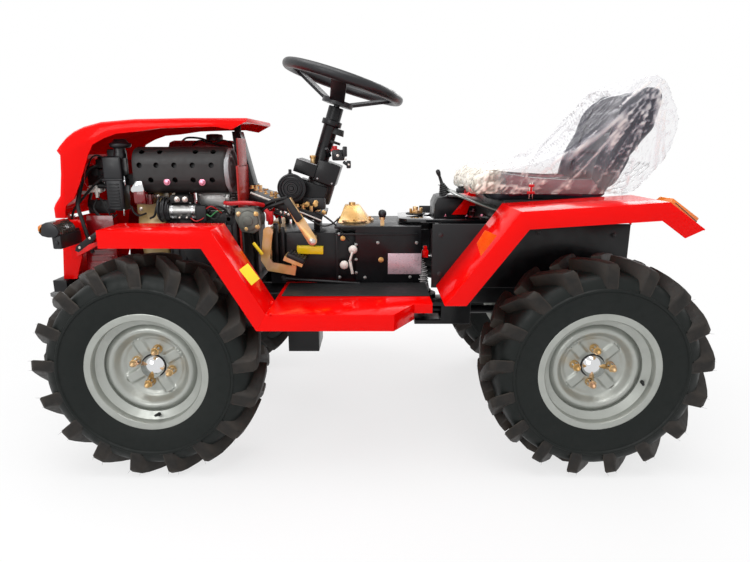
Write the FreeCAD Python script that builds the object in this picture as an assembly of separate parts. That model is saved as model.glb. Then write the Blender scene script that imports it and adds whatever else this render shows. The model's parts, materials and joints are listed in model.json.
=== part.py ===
"""Small articulated four-wheel-drive tractor, as an assembly of separate solids.

Frame: millimetres, +X forward, +Y to the driver's left, +Z up. The origin is on the ground, half-way
between the axles. The front half carries the engine, hood, steering column, gear case and footboards.
The rear half carries the seat, the rear fenders and the drawbar. They meet at a vertical pivot.
Each node is written to parts/NODE.step.
"""
import FreeCAD, Part
import math
import os

V = FreeCAD.Vector

# ---------------------------------------------------------------- clearances and stock
RUN_GAP = 0.05                # radial clearance of a shaft in its own bore
SEAT_GAP = 0.3                # between curved faces that are pressed together
SWING_GAP = 6.0               # between pieces that move past each other
SHEET_T = 4.0                 # folded red and black sheet
PLATE_T = 12.0                # thick steel plate

# ---------------------------------------------------------------- wheels and axles
WHEELBASE = 1225.0
TRACK_HALF = 385.0            # centre plane of the tractor to a tyre's centre plane
TYRE_R = 312.0                # to the lug tips
TYRE_W = 166.0
LUG_COUNT = 17                # bars in each of a tyre's two rows
CAVITY_H = 26.0               # thickness of the tread over the air space
LUG_H = 30.0
LUG_W = 23.0
LUG_SWEEP = 13.6              # degrees round the axle from a bar's foot to its inner end
LUG_REACH = 6.0               # how far a bar runs past the tyre's middle
RIM_SEAT_R = 152.0
RIM_FLANGE_H = 17.0
RIM_WELL_H = 21.0
RIM_HALF_W = 70.0
RIM_T = 4.0
RIM_STEP_L = 14.0              # length of the slope between bead seat and well
DISC_OFFSET = 10.0            # rim disc's back face, outboard of the tyre's centre plane
DISC_T = 5.0
STUD_PCD = 100.0
STUD_R = 6.5
STUD_HOLE_R = 7.0
STUD_COUNT = 4
HUB_FLANGE_R = 66.0
HUB_CAP_R = 30.0
HUB_NECK_R = 44.0
STUB_R = 22.0
STUB_L = 60.0
AXLE_TUBE_R = 42.0
AXLE_FLANGE_R = 62.0
AXLE_END_Y = 297.0
DIFF_R = 78.0
DIFF_HALF_W = 70.0
PINION_R = 40.0
PINION_L = 180.0
SHAFT_R = 14.0
DRIVE_Z = 355.0               # height of the drive shafts

# ---------------------------------------------------------------- front chassis
RAIL_Y = 95.0                 # inner face of a frame rail
RAIL_T = 8.0
RAIL_LOW_Z = 400.0
RAIL_TOP_Z = 476.0
RAIL_FRONT_X = 942.0
RAIL_REAR_X = -60.0
TAIL_L = 35.0
CROSS_T = 20.0
BUMPER_L = 42.0
BUMPER_HALF_W = 200.0
BUMPER_LOW_Z = 470.0
BUMPER_TOP_Z = 507.0
TOW_X = 1060.0                # front edge of the tow plate, the tractor's front end
TOW_HALF_W = 150.0
TOW_LOW_Z = 428.0
TOW_HOLE_R = 12.5
TOW_HOLE_BACK = 45.0

# ---------------------------------------------------------------- pivot between the halves
PIVOT_X = -172.0
LOW_PIN_R = 18.0
LOW_LUG_R = 42.0
LOW_LUG_T = 16.0
TOP_PIN_R = 16.0
TOP_LUG_R = 34.0
TOP_LUG_T = 24.0
NECK_HALF_W = 50.0
NECK_NOSE = 32.0
NECK_LOW_Z = 316.0
NECK_T = 14.0
JOINT_BALL_R = 19.0
PLATE_FRONT_X = -82.0
PLATE_HALF_W = 95.0

# ---------------------------------------------------------------- steering cylinder
RAM_BASE_X = 208.0
RAM_BASE_Y = -125.0
RAM_EYE_Y = -120.0
RAM_Z = 350.0
RAM_R = 20.0
RAM_ROD_R = 10.0
RAM_END_X = -60.0
RAM_EYE_R = 20.0

# ---------------------------------------------------------------- gearbox, gear case and footboards
GEARBOX_FRONT_X = 330.0
GEARBOX_HALF_W = 110.0
GEARBOX_TOP_Z = 640.0
DROP_FRONT_X = 290.0
DROP_REAR_X = 186.0
DROP_HALF_W = 70.0
DROP_LOW_Z = 225.0
CASE_FRONT_X = 57.0
CASE_REAR_X = -150.0
CASE_HALF_W = 130.0
CASE_TOP_Z = 664.0
CASE_LID_T = 8.0
CASE_LID_FRONT_X = 122.0
DOME_X0 = 10.0
DOME_X1 = 116.0
DOME_H = 54.0
DOME_HALF_W = 50.0
FOOT_TOP_Z = 480.0
FOOT_MAT_T = 3.0
MAT_OUT_Y = 285.0
SIDE_Y = 462.0                # outer face of fenders and footboards
LIP = 46.0                    # depth of the folded outer edge
FOOT_REAR_X = -55.0
TONGUE_REAR_X = -166.0
TONGUE_Y = 362.0
CHAMFER_L = 60.0
FRONT_FENDER_Y = 328.0
FENDER_FRONT_X = 697.0
FENDER_BEND_X = 410.0
FENDER_FOOT_X = 281.0
FENDER_TOP_Z = 701.0
LEVER_X = 187.0
LEVER_Z = 626.0
PEDAL_X = 320.0
PEDAL_Y = 177.0
PEDAL_SHAFT_R = 8.0

# ---------------------------------------------------------------- hood, panel and lamps
HOOD_HALF_W = 190.0
HOOD_T = 5.0
HOOD_TOP_Z = 986.0
HOOD_REAR_X = 366.0
HOOD_LOW_Z = 697.0
HOOD_NOSE_X = 962.0
HINGE_R = 4.0
HINGE_BOSS_R = 7.0
PANEL_TOP_Z = 691.0
PANEL_TOP_X = 941.0
PANEL_LOW_X = 961.0
PANEL_SIDE_L = 70.0
PANEL_FOOT_L = 41.0
LAMP_IN_Y = 210.0
LAMP_OUT_Y = 302.0

# ---------------------------------------------------------------- engine
CRANKCASE_X0 = 430.0
CRANKCASE_X1 = 650.0
CRANKCASE_HALF_W = 110.0
CRANKCASE_TOP_Z = 700.0
HEAD_X0 = 440.0
HEAD_X1 = 546.0
HEAD_HALF_W = 75.0
HEAD_TOP_Z = 765.0
ROCKER_TOP_Z = 830.0
ROCKER_Y = 35.0
SHROUD_X1 = 746.0
SHROUD_R = 129.0
CRANK_Z = 640.0
MUFFLER_X0 = 430.0
MUFFLER_X1 = 716.0
MUFFLER_HALF_H = 69.0
MUFFLER_HALF_W = 63.0
MUFFLER_Y = 112.0
MUFFLER_Z = 836.0
STACK_X = 750.0
STACK_Y = 140.0
STACK_R = 31.0
STACK_LOW_Z = 729.0
STACK_TOP_Z = 886.0
BOWL_X = 733.0
BOWL_R = 43.0
BOWL_H = 34.0
STARTER_X0 = 532.0
STARTER_X1 = 625.0
STARTER_Y = 142.0
STARTER_Z = 713.0
STARTER_R = 24.0
INTAKE_R = 17.0
TANK_X0 = 455.0
TANK_X1 = 678.0
TANK_Y0 = -170.0
TANK_Y1 = -12.0
TANK_LOW_Z = 837.0
TANK_TOP_Z = 925.0
TANK_LEG_Y = -98.0
FIREWALL_X = 404.0
FIREWALL_T = 6.0
FIREWALL_HALF_W = 165.0
FIREWALL_HIGH_Z = 850.0
FIREWALL_LOW_Z = 755.0
POST_HALF_W = 28.0
POST_X = 388.0             # rear face of the hood's post
POST_TOP_Z = 952.0

# ---------------------------------------------------------------- steering column
COLUMN_X = 218.0              # where the column's axis meets its base
COLUMN_Z = 713.0
COLUMN_TILT = 17.6            # degrees that the column leans back
COLUMN_R = 24.0
COLUMN_L = 330.0
STEER_SHAFT_R = 10.0
WHEEL_RING_R = 181.0
WHEEL_GRIP_R = 16.0
WHEEL_HEIGHT = 408.0
WHEEL_DISH = 56.0             # depth of the hub's face below the ring
WHEEL_HUB_R = 50.0
WHEEL_HUB_T = 16.0
STEER_UNIT_L = 96.0
STEER_UNIT_W = 100.0
STEER_UNIT_H = 82.0
SWITCH_BOX_L = 150.0
SWITCH_BOX_W = 120.0
SWITCH_BOX_H = 56.0
SWITCH_BOX_BACK = 84.0        # how far the switch box reaches behind the column's axis
SWITCH_BOX_LOW = 98.0         # height of its underside along the column
HORN_X = 256.0
HORN_Y = 66.0
HORN_Z = 779.0
HORN_R = 44.0
HORN_T = 30.0
SPOKE_W = 46.0
SPOKE_T = 9.0
COLUMN_PLATE_BACK = 62.0
COLUMN_PLATE_FRONT = 176.0
COLUMN_PLATE_HALF_W = 103.0

# ---------------------------------------------------------------- rear half
BEAM_HALF_W = 60.0
BEAM_FRONT_X = -240.0
BEAM_REAR_X = -900.0
BEAM_LOW_Z = 394.0
BEAM_TOP_Z = 500.0
BEAM_T = 8.0
COVER_HALF_W = 250.0
COVER_FRONT_X = -215.0
COVER_REAR_X = -747.0
COVER_TOP_Z = 670.0
CHEEK_FRONT_X = -172.0
CHEEK_LOW_Z = 497.0
CHEEK_TOP_Z = 688.0
REAR_FENDER_FOOT_Z = 503.0
REAR_LAMP_IN_Y = 372.0
REAR_LAMP_OUT_Y = 440.0
REAR_LAMP_H = 17.0
TAIL_CUT = 0.25               # share of the tail's folded edge that its end is cut back by
CONSOLE_FRONT_X = -196.0
CONSOLE_REAR_X = -306.0
CONSOLE_HALF_W = 75.0
CONSOLE_TOP_Z = 774.0
SLOPE_FRONT_X = -240.0
SLOPE_REAR_X = -361.0
SLOPE_TOP_Z = 770.0
SLOPE_LOW_Z = 725.0
SLOPE_HALF_W = 225.0
SEAT_BASE_FRONT_X = -380.0
SEAT_BASE_REAR_X = -690.0
SEAT_BASE_HALF_W = 190.0
SEAT_BASE_TOP_Z = 752.0
SEAT_HALF_W = 220.0
HITCH_X = -1060.0             # rear end of the drawbar, as far back as the tow plate is forward
HITCH_PLATE_HALF_W = 90.0
HITCH_PLATE_LOW_Z = 320.0
HITCH_HOLE_R = 12.5
HITCH_HOLE_BACK = 35.0
HITCH_BOLT_R = 7.0
HITCH_BOLT_DY = 150.0
HITCH_BOLT_DZ = 60.0

# ---------------------------------------------------------------- values that follow
FRONT_X = WHEELBASE / 2
REAR_X = -WHEELBASE / 2
AXLE_Z = TYRE_R
RAIL_OUT_Y = RAIL_Y + RAIL_T
TAIL_X = RAIL_REAR_X - TAIL_L
FOOT_LOW_Z = FOOT_TOP_Z - SHEET_T
HUB_FACE_Y = TRACK_HALF + DISC_OFFSET
PLATE_LOW_Z = COVER_TOP_Z
PLATE_TOP_Z = PLATE_LOW_Z + PLATE_T
PLATE_REAR_X = SEAT_BASE_FRONT_X + 4
NECK_TOP_Z = BEAM_LOW_Z
COLUMN_FOOT = V(COLUMN_X, 0, COLUMN_Z)
HINGE_X = HOOD_NOSE_X - HOOD_T - 9.0
HINGE_Z = HOOD_LOW_Z + 7.0
PANEL_HALF_W = HOOD_HALF_W - HOOD_T - SWING_GAP


# ---------------------------------------------------------------- shape helpers
def box(x0, x1, y0, y1, z0, z1):
    """Block between two corners, given as ranges along the three axes."""
    return Part.makeBox(x1 - x0, y1 - y0, z1 - z0, V(x0, y0, z0))


def rod_x(x0, x1, y, z, r):
    """Cylinder along X."""
    return Part.makeCylinder(r, x1 - x0, V(x0, y, z), V(1, 0, 0))


def rod_y(y0, y1, x, z, r):
    """Cylinder along Y."""
    return Part.makeCylinder(r, y1 - y0, V(x, y0, z), V(0, 1, 0))


def rod_z(z0, z1, x, y, r):
    """Cylinder along Z."""
    return Part.makeCylinder(r, z1 - z0, V(x, y, z0), V(0, 0, 1))


def side_plate(points, y0, y1):
    """Outline of (x, z) points, extruded from y0 to y1."""
    loop = [V(x, y0, z) for x, z in points]
    return Part.Face(Part.makePolygon(loop + loop[:1])).extrude(V(0, y1 - y0, 0))


def flat_plate(points, z0, z1):
    """Outline of (x, y) points, extruded from z0 to z1."""
    loop = [V(x, y, z0) for x, y in points]
    return Part.Face(Part.makePolygon(loop + loop[:1])).extrude(V(0, 0, z1 - z0))


def turned(points, x, y, z):
    """Profile of (distance along +Y from y, radius) points, turned about the Y axis through x, z."""
    loop = [V(x, y + a, z + r) for a, r in points]
    return Part.Face(Part.makePolygon(loop + loop[:1])).revolve(V(x, y, z), V(0, 1, 0), 360)


def bar(start, end, width, depth):
    """Straight rectangular bar between two points, width across and depth upright."""
    along = V(*end) - V(*start)
    across = along.cross(V(0, 0, 1)).normalize()
    upright = across.cross(along).normalize()
    corner = V(*start) - across * (width / 2) - upright * (depth / 2)
    loop = [corner, corner + across * width, corner + across * width + upright * depth,
            corner + upright * depth]
    return Part.Face(Part.makePolygon(loop + loop[:1])).extrude(along)


def joined(*shapes):
    """One piece from shapes that overlap or touch."""
    whole = shapes[0].fuse(list(shapes[1:])) if len(shapes) > 1 else shapes[0]
    return whole.removeSplitter()


def mirrored(shape):
    """The same piece on the tractor's other side."""
    return shape.mirror(V(0, 0, 0), V(0, 1, 0))


def on_column(shape):
    """Leans a piece that was built upright at the origin back with the steering column."""
    placed = shape.copy()
    placed.rotate(V(0, 0, 0), V(0, 1, 0), -COLUMN_TILT)
    placed.translate(COLUMN_FOOT)
    return placed


def inset(path, depth):
    """Path of (x, z) points moved sideways by depth, to the left of its direction, mitred at its bends."""
    moved = []
    last = len(path) - 1
    for k, (x, z) in enumerate(path):
        before = direction(path[max(k - 1, 0)], path[max(k, 1)])
        after = direction(path[min(k, last - 1)], path[min(k + 1, last)])
        share = 1 + before[0] * after[0] + before[1] * after[1]
        moved.append((x - depth * (before[1] + after[1]) / share,
                      z + depth * (before[0] + after[0]) / share))
    return moved


def direction(a, b):
    """Unit vector from one (x, z) point to another."""
    length = math.hypot(b[0] - a[0], b[1] - a[1])
    return ((b[0] - a[0]) / length, (b[1] - a[1]) / length)


def at_height(a, b, z):
    """The (x, z) point at height z on the line through two points."""
    return (a[0] + (b[0] - a[0]) * (z - a[1]) / (b[1] - a[1]), z)


def between(a, b, share):
    """The (x, z) point that lies a share of the way from one point to another."""
    return (a[0] + (b[0] - a[0]) * share, a[1] + (b[1] - a[1]) * share)


def strap(path, width, y0, y1):
    """Flat bar of even width along a path of (x, z) points, from y0 to y1."""
    return side_plate(inset(path, -width / 2) + inset(path, width / 2)[::-1], y0, y1)


def folded_sheet(outer, skin, lip, y_in, y_out, lip_faces):
    """Sheet that follows the outer path, with a folded edge down to the lip path at each lip face."""
    pieces = [side_plate(outer + skin[::-1], y_in, y_out)]
    for y in lip_faces:
        pieces.append(side_plate(outer + lip[::-1], y, y + SHEET_T))
    return joined(*pieces)


def ring_holes(count, pcd, r, y0, y1, x, z):
    """Rods along Y on a pitch circle."""
    rods = []
    for k in range(count):
        turn = 2 * math.pi * k / count
        rods.append(rod_y(y0, y1, x + pcd / 2 * math.cos(turn), z + pcd / 2 * math.sin(turn), r))
    return rods


# ---------------------------------------------------------------- wheels and axles
def closed(faces):
    """Solid inside a closed set of flat faces."""
    shell = Part.makeShell(faces)
    shell.sewShape()
    solid = Part.Solid(shell)
    if solid.Volume < 0:
        solid.reverse()
    return solid


def flat(*corners):
    """Flat face between corners."""
    return Part.Face(Part.makePolygon(list(corners) + [corners[0]]))


def bar_corners(x, side, turn):
    """Corners beside one bar of a tyre's tread, as pairs of its trailing and its leading side, by name.

    side is +1 for the outboard row and -1 for the inboard row. turn is the bar's place round the axle.
    """
    half = TYRE_W / 2
    crown = TYRE_R - LUG_H
    flank = RIM_HALF_W - RIM_T - SEAT_GAP
    even = 90.0 / LUG_COUNT
    bead = (RIM_SEAT_R + SEAT_GAP) / math.cos(math.radians(even))
    foot = LUG_W / 2 + 4.5
    tip = LUG_W / 2
    stations = {
        "cavity": (0, crown - CAVITY_H, 0, even), "bead_in": (flank - 14, bead, 0, even),
                "bead": (flank, bead, 0, even),
        "low": (flank, RIM_SEAT_R + RIM_FLANGE_H + 5, 0, even), "bulge": (half - 2, TYRE_R - 88, 0, even),
        "foot": (half - 3, TYRE_R - 68, 0, math.degrees(foot / (TYRE_R - 68))),
        "shoulder": (half - 15, crown - 9, 0, math.degrees(foot / (crown - 9))),
        "seam": (0, crown, LUG_SWEEP * (1 - LUG_REACH / half), math.degrees((foot + 1) / crown)),
        "tip_out": (half, TYRE_R - 32, -0.4, math.degrees(tip / (TYRE_R - 32))),
        "tip_bend": (half - 7, TYRE_R - 8, 0.6, math.degrees(tip / (TYRE_R - 8))),
        "tip_in": (-LUG_REACH, TYRE_R, LUG_SWEEP, math.degrees(tip / TYRE_R)),
    }
    corners = {}
    for name, (across, r, sweep, spread) in stations.items():
        pair = []
        for sign in (-1, 1):
            angle = math.radians(turn + sweep + sign * spread)
            pair.append(V(x + r * math.sin(angle), TRACK_HALF + side * across,
                          AXLE_Z + r * math.cos(angle)))
        corners[name] = pair
    return corners


def tyre(x):
    """Left tyre round the axle at x: carcass and both rows of bars, as one closed set of flat faces."""
    pitch = 360.0 / LUG_COUNT
    first = 180.0 - LUG_SWEEP - math.degrees(LUG_W / 2 / TYRE_R)
    faces = []
    for side, shift in ((1, 0.0), (-1, 0.5)):
        for k in range(LUG_COUNT):
            turn = first + pitch * (k + shift)
            faces += pitch_faces(bar_corners(x, side, turn), bar_corners(x, -side, turn + pitch / 2),
                                 bar_corners(x, side, turn + pitch))
    return closed(faces)


def pitch_faces(here, other, after):
    """Faces of one bar and of the gap after it; other is the bar of the other row that ends in the gap."""
    def strip(a, b, c, d):
        return [flat(a, b, c), flat(a, c, d)]

    faces = []
    names = ["cavity", "bead_in", "bead", "low", "bulge", "foot"]
    for low, high in zip(names, names[1:]):
        faces += strip(here[low][0], here[low][1], here[high][1], here[high][0])
        faces += strip(here[low][1], after[low][0], after[high][0], here[high][1])
    faces += strip(here["foot"][1], after["foot"][0], after["shoulder"][0], here["shoulder"][1])
    one = here["shoulder"][1]
    two = after["shoulder"][0]
    seam = [here["seam"][1], other["seam"][0], other["seam"][1], after["seam"][0]]
    faces += [flat(one, seam[1], seam[0]), flat(one, two, seam[1]), flat(two, seam[2], seam[1]),
              flat(two, seam[3], seam[2])]
    for low, high in (("foot", "tip_out"), ("tip_out", "tip_bend"), ("tip_bend", "tip_in"),
                      ("tip_in", "seam")):
        faces += strip(here[low][0], here[low][1], here[high][1], here[high][0])
    for k in (0, 1):
        foot, shoulder, inner = here["foot"][k], here["shoulder"][k], here["seam"][k]
        out, bend, tip = here["tip_out"][k], here["tip_bend"][k], here["tip_in"][k]
        faces += [flat(foot, shoulder, out), flat(shoulder, bend, out), flat(shoulder, inner, bend),
                  flat(inner, tip, bend)]
    return faces


def rim(x):
    """Left rim: well-based barrel with a dished disc, its stud holes and centre bore."""
    w = RIM_HALF_W
    t = RIM_T
    seat = RIM_SEAT_R
    well = RIM_SEAT_R - RIM_WELL_H
    lip = RIM_SEAT_R + RIM_FLANGE_H
    back = DISC_OFFSET
    foot = well - t
    ledge = w - 22
    slope = ledge - RIM_STEP_L
    profile = [(-w, lip), (-w, seat - t), (-ledge + 2, seat - t), (-slope + 2, foot), (back + 12, foot),
               (back + 12, 121), (back + 22, 116), (back + 28, 106), (back + 28, 102), (back + 21, 91),
               (back, 77),
               (back, HUB_CAP_R + 3), (back + DISC_T, HUB_CAP_R + 3), (back + DISC_T, 74), (back + 26, 88),
               (back + 34, 100), (back + 34, 109), (back + 28, 119), (back + 18, foot), (slope - 2, foot),
               (ledge - 2, seat - t), (w, seat - t), (w, lip), (w - t, lip), (w - t, seat), (ledge, seat),
               (slope, well), (-slope, well), (-ledge, seat), (-w + t, seat), (-w + t, lip)]
    solid = turned(profile, x, TRACK_HALF, AXLE_Z)
    return solid.cut(ring_holes(STUD_COUNT, STUD_PCD, STUD_HOLE_R, HUB_FACE_Y - 1, HUB_FACE_Y + 40, x,
                                AXLE_Z))


def hub(x):
    """Left hub: stub in the axle housing, flange behind the rim's disc, studs with nuts, and the cap."""
    face = HUB_FACE_Y
    core = [rod_y(AXLE_END_Y - STUB_L, AXLE_END_Y + 2, x, AXLE_Z, STUB_R),
            rod_y(AXLE_END_Y + 1.5, face - 10, x, AXLE_Z, HUB_NECK_R),
            rod_y(face - 12, face, x, AXLE_Z, HUB_FLANGE_R),
            rod_y(face - 5, face + 22, x, AXLE_Z, HUB_CAP_R)]
    studs = ring_holes(STUD_COUNT, STUD_PCD, STUD_R, face - 5, face + 30, x, AXLE_Z)
    nuts = ring_holes(STUD_COUNT, STUD_PCD, STUD_R + 4, face + DISC_T, face + 22, x, AXLE_Z)
    return joined(*core, *studs, *nuts)


def axle_housing(x, facing, top_z, shaft_end):
    """Axle housing with its differential, end flanges and stub bores.

    facing is +1 or -1, the way its pinion points along X. shaft_end is where the drive shaft stops.
    """
    nose = x + facing * PINION_L
    pieces = [rod_y(-AXLE_END_Y, AXLE_END_Y, x, AXLE_Z, AXLE_TUBE_R),
              rod_y(-DIFF_HALF_W, DIFF_HALF_W, x, AXLE_Z, DIFF_R),
              rod_x(min(x, nose), max(x, nose), 0, DRIVE_Z - 8, PINION_R - 8),
              rod_x(min(x, shaft_end), max(x, shaft_end), 0, DRIVE_Z, SHAFT_R),
              box(x - 45, x + 45, -RAIL_OUT_Y, RAIL_OUT_Y, AXLE_Z, top_z)]
    flange = rod_y(AXLE_END_Y - PLATE_T, AXLE_END_Y, x, AXLE_Z, AXLE_FLANGE_R)
    pieces += [flange, mirrored(flange)]
    bore = rod_y(AXLE_END_Y - STUB_L - 10, AXLE_END_Y + 1, x, AXLE_Z, STUB_R + RUN_GAP)
    return joined(*pieces).cut([bore, mirrored(bore)])


# ---------------------------------------------------------------- front chassis and pivot
def front_chassis():
    """Two rails with cross members, footboard arms and the lower pivot lug."""
    rail = box(RAIL_REAR_X, RAIL_FRONT_X, RAIL_Y, RAIL_OUT_Y, RAIL_LOW_Z, RAIL_TOP_Z)
    pieces = [rail, mirrored(rail), box(TAIL_X, RAIL_REAR_X, -RAIL_OUT_Y, RAIL_OUT_Y, RAIL_LOW_Z,
                                        RAIL_TOP_Z)]
    for x in (RAIL_FRONT_X - CROSS_T, 760.0, 400.0):
        pieces.append(box(x - CROSS_T, x, -RAIL_Y, RAIL_Y, TOW_LOW_Z + PLATE_T, BUMPER_LOW_Z))
    for x in (FENDER_FOOT_X - 60, RAIL_REAR_X + 25):
        arm = box(x - CROSS_T, x + CROSS_T, RAIL_OUT_Y, SIDE_Y - SHEET_T, FOOT_LOW_Z - 18, FOOT_LOW_Z)
        pieces += [arm, mirrored(arm)]
    lug = [box(PIVOT_X, TAIL_X, -LOW_LUG_R, LOW_LUG_R, RAIL_LOW_Z, RAIL_LOW_Z + LOW_LUG_T),
           rod_z(RAIL_LOW_Z, RAIL_LOW_Z + LOW_LUG_T, PIVOT_X, 0, LOW_LUG_R)]
    rib = box(TAIL_X - 30, TAIL_X, 26, 34, RAIL_LOW_Z, RAIL_TOP_Z - 20)
    ram_block = box(RAM_BASE_X - 25, RAM_BASE_X + 25, RAM_BASE_Y - 20, -RAIL_Y, RAM_Z + 28, RAIL_LOW_Z)
    ram_pin = rod_z(RAM_Z - 20, RAM_Z + 28, RAM_BASE_X, RAM_BASE_Y, 8)
    solid = joined(*pieces, *lug, rib, mirrored(rib), ram_block, ram_pin)
    return solid.cut(rod_z(RAIL_LOW_Z - 1, RAIL_LOW_Z + LOW_LUG_T + 1, PIVOT_X, 0, LOW_PIN_R + RUN_GAP))


def bumper():
    """Cross bar over the rails' front ends, with the flat tow plate under it."""
    crossbar = box(RAIL_FRONT_X, RAIL_FRONT_X + BUMPER_L, -BUMPER_HALF_W, BUMPER_HALF_W, BUMPER_LOW_Z,
                   BUMPER_TOP_Z)
    web = box(RAIL_FRONT_X, RAIL_FRONT_X + SHEET_T * 2, -RAIL_OUT_Y, RAIL_OUT_Y, TOW_LOW_Z, BUMPER_LOW_Z)
    outline = [(RAIL_FRONT_X - 60, -RAIL_Y), (RAIL_FRONT_X, -RAIL_Y), (RAIL_FRONT_X, -TOW_HALF_W),
               (TOW_X - 55, -TOW_HALF_W), (TOW_X, -TOW_HALF_W + 50), (TOW_X, TOW_HALF_W - 50),
               (TOW_X - 55, TOW_HALF_W),
               (RAIL_FRONT_X, TOW_HALF_W), (RAIL_FRONT_X, RAIL_Y), (RAIL_FRONT_X - 60, RAIL_Y)]
    plate = flat_plate(outline, TOW_LOW_Z, TOW_LOW_Z + PLATE_T)
    hole = rod_z(TOW_LOW_Z - 1, TOW_LOW_Z + PLATE_T + 1, TOW_X - TOW_HOLE_BACK, 0, TOW_HOLE_R)
    return joined(crossbar, web, plate).cut(hole)


def rear_chassis():
    """Box beam with the forked neck, the lower pivot pin, the steering arm and the rear end plate."""
    beam = box(BEAM_REAR_X, BEAM_FRONT_X, -BEAM_HALF_W, BEAM_HALF_W, BEAM_LOW_Z, BEAM_TOP_Z)
    hollow = box(BEAM_REAR_X - 1, BEAM_FRONT_X - BEAM_T, -BEAM_HALF_W + BEAM_T, BEAM_HALF_W - BEAM_T,
                 BEAM_LOW_Z + BEAM_T, BEAM_TOP_Z - BEAM_T)
    neck_back = BEAM_FRONT_X - 90
    nose_x = PIVOT_X + NECK_NOSE
    top = box(neck_back, nose_x, -NECK_HALF_W, NECK_HALF_W, NECK_TOP_Z - NECK_T, NECK_TOP_Z)
    low = box(neck_back, nose_x, -NECK_HALF_W, NECK_HALF_W, NECK_LOW_Z, NECK_LOW_Z + NECK_T)
    web = box(neck_back, BEAM_FRONT_X + 10, NECK_HALF_W - NECK_T, NECK_HALF_W, NECK_LOW_Z, NECK_TOP_Z)
    pin = rod_z(NECK_TOP_Z - NECK_T, RAIL_LOW_Z + LOW_LUG_T + 3, PIVOT_X, 0, LOW_PIN_R)
    head = rod_z(RAIL_LOW_Z + LOW_LUG_T + 2, RAIL_LOW_Z + LOW_LUG_T + 12, PIVOT_X, 0, LOW_PIN_R + 8)
    arm = box(PIVOT_X - 22, PIVOT_X + 22, RAM_EYE_Y - 20, -NECK_HALF_W + 5, NECK_TOP_Z - NECK_T - 4,
              NECK_TOP_Z)
    return joined(beam.cut(hollow), top, low, web, mirrored(web), pin, head, arm)


def pivot_plate():
    """Upper pivot plate on the rear half, with its pin, cap and bolts."""
    outline = [(PLATE_REAR_X, -PLATE_HALF_W), (PLATE_FRONT_X - 25, -PLATE_HALF_W),
               (PLATE_FRONT_X, -PLATE_HALF_W + 25),
               (PLATE_FRONT_X, PLATE_HALF_W - 25), (PLATE_FRONT_X - 25, PLATE_HALF_W),
               (PLATE_REAR_X, PLATE_HALF_W)]
    plate = flat_plate(outline, PLATE_LOW_Z, PLATE_TOP_Z)
    pin = rod_z(CASE_TOP_Z - TOP_LUG_T - 4, PLATE_TOP_Z, PIVOT_X, 0, TOP_PIN_R)
    cap = rod_z(PLATE_TOP_Z - 1, PLATE_TOP_Z + 6, PIVOT_X, 0, TOP_PIN_R + 6)
    return joined(plate, pin, cap)


def steering_ram():
    """Barrel of the steering cylinder on its base pin, with the rod's bore."""
    run = V(PIVOT_X - RAM_BASE_X, RAM_EYE_Y - RAM_BASE_Y, 0)
    along = V(run).normalize()
    base = V(RAM_BASE_X, RAM_BASE_Y, RAM_Z)
    length = RAM_BASE_X - RAM_END_X
    barrel = Part.makeCylinder(RAM_R, length - 18, base + along * 18, along)
    eye = rod_z(RAM_Z - 16, RAM_Z + 24, RAM_BASE_X, RAM_BASE_Y, 19)
    bore = Part.makeCylinder(RAM_ROD_R + RUN_GAP, length - 90, base + along * 95, along)
    return joined(barrel, eye).cut([bore, rod_z(RAM_Z - 30, RAM_Z + 30, RAM_BASE_X, RAM_BASE_Y, 8)])


def ram_rod():
    """Rod of the steering cylinder, with the eye under the rear half's steering arm."""
    run = V(PIVOT_X - RAM_BASE_X, RAM_EYE_Y - RAM_BASE_Y, 0)
    along = V(run).normalize()
    start = V(RAM_BASE_X, RAM_BASE_Y, RAM_Z) + along * 165
    shaft = Part.makeCylinder(RAM_ROD_R, run.Length - 165 - 8, start, along)
    eye = rod_z(RAM_Z - 14, NECK_TOP_Z - NECK_T - 8, PIVOT_X, RAM_EYE_Y, RAM_EYE_R)
    return joined(shaft, eye)


# ---------------------------------------------------------------- gearbox, gear case and footboards
def gearbox():
    """Gearbox between the rails, with its drop case and the front drive shaft's ball joint."""
    return joined(box(CASE_FRONT_X, GEARBOX_FRONT_X, -RAIL_Y, RAIL_Y, RAIL_LOW_Z, RAIL_TOP_Z),
                  box(CASE_FRONT_X, GEARBOX_FRONT_X, -GEARBOX_HALF_W, GEARBOX_HALF_W, RAIL_TOP_Z,
                      GEARBOX_TOP_Z),
                  box(DROP_REAR_X, DROP_FRONT_X, -DROP_HALF_W, DROP_HALF_W, DROP_LOW_Z, RAIL_LOW_Z),
                  rod_x(PIVOT_X, DROP_REAR_X, 0, DRIVE_Z, SHAFT_R),
                  Part.makeSphere(JOINT_BALL_R, V(PIVOT_X, 0, DRIVE_Z)))


def gear_case():
    """Black case behind the gearbox, with its lid and the upper pivot lug."""
    body = joined(box(CASE_REAR_X, CASE_FRONT_X, -GEARBOX_HALF_W, GEARBOX_HALF_W, RAIL_TOP_Z, FOOT_TOP_Z),
                  box(CASE_REAR_X, CASE_FRONT_X, -CASE_HALF_W, CASE_HALF_W, FOOT_TOP_Z,
                      CASE_TOP_Z - CASE_LID_T),
                  box(CASE_REAR_X, CASE_LID_FRONT_X, -CASE_HALF_W, CASE_HALF_W, CASE_TOP_Z - CASE_LID_T,
                      CASE_TOP_Z),
                  box(PIVOT_X, CASE_REAR_X, -TOP_LUG_R, TOP_LUG_R, CASE_TOP_Z - TOP_LUG_T, CASE_TOP_Z),
                  rod_z(CASE_TOP_Z - TOP_LUG_T, CASE_TOP_Z, PIVOT_X, 0, TOP_LUG_R))
    return body.cut(rod_z(CASE_TOP_Z - TOP_LUG_T - 1, CASE_TOP_Z + 1, PIVOT_X, 0, TOP_PIN_R + RUN_GAP))


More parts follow.
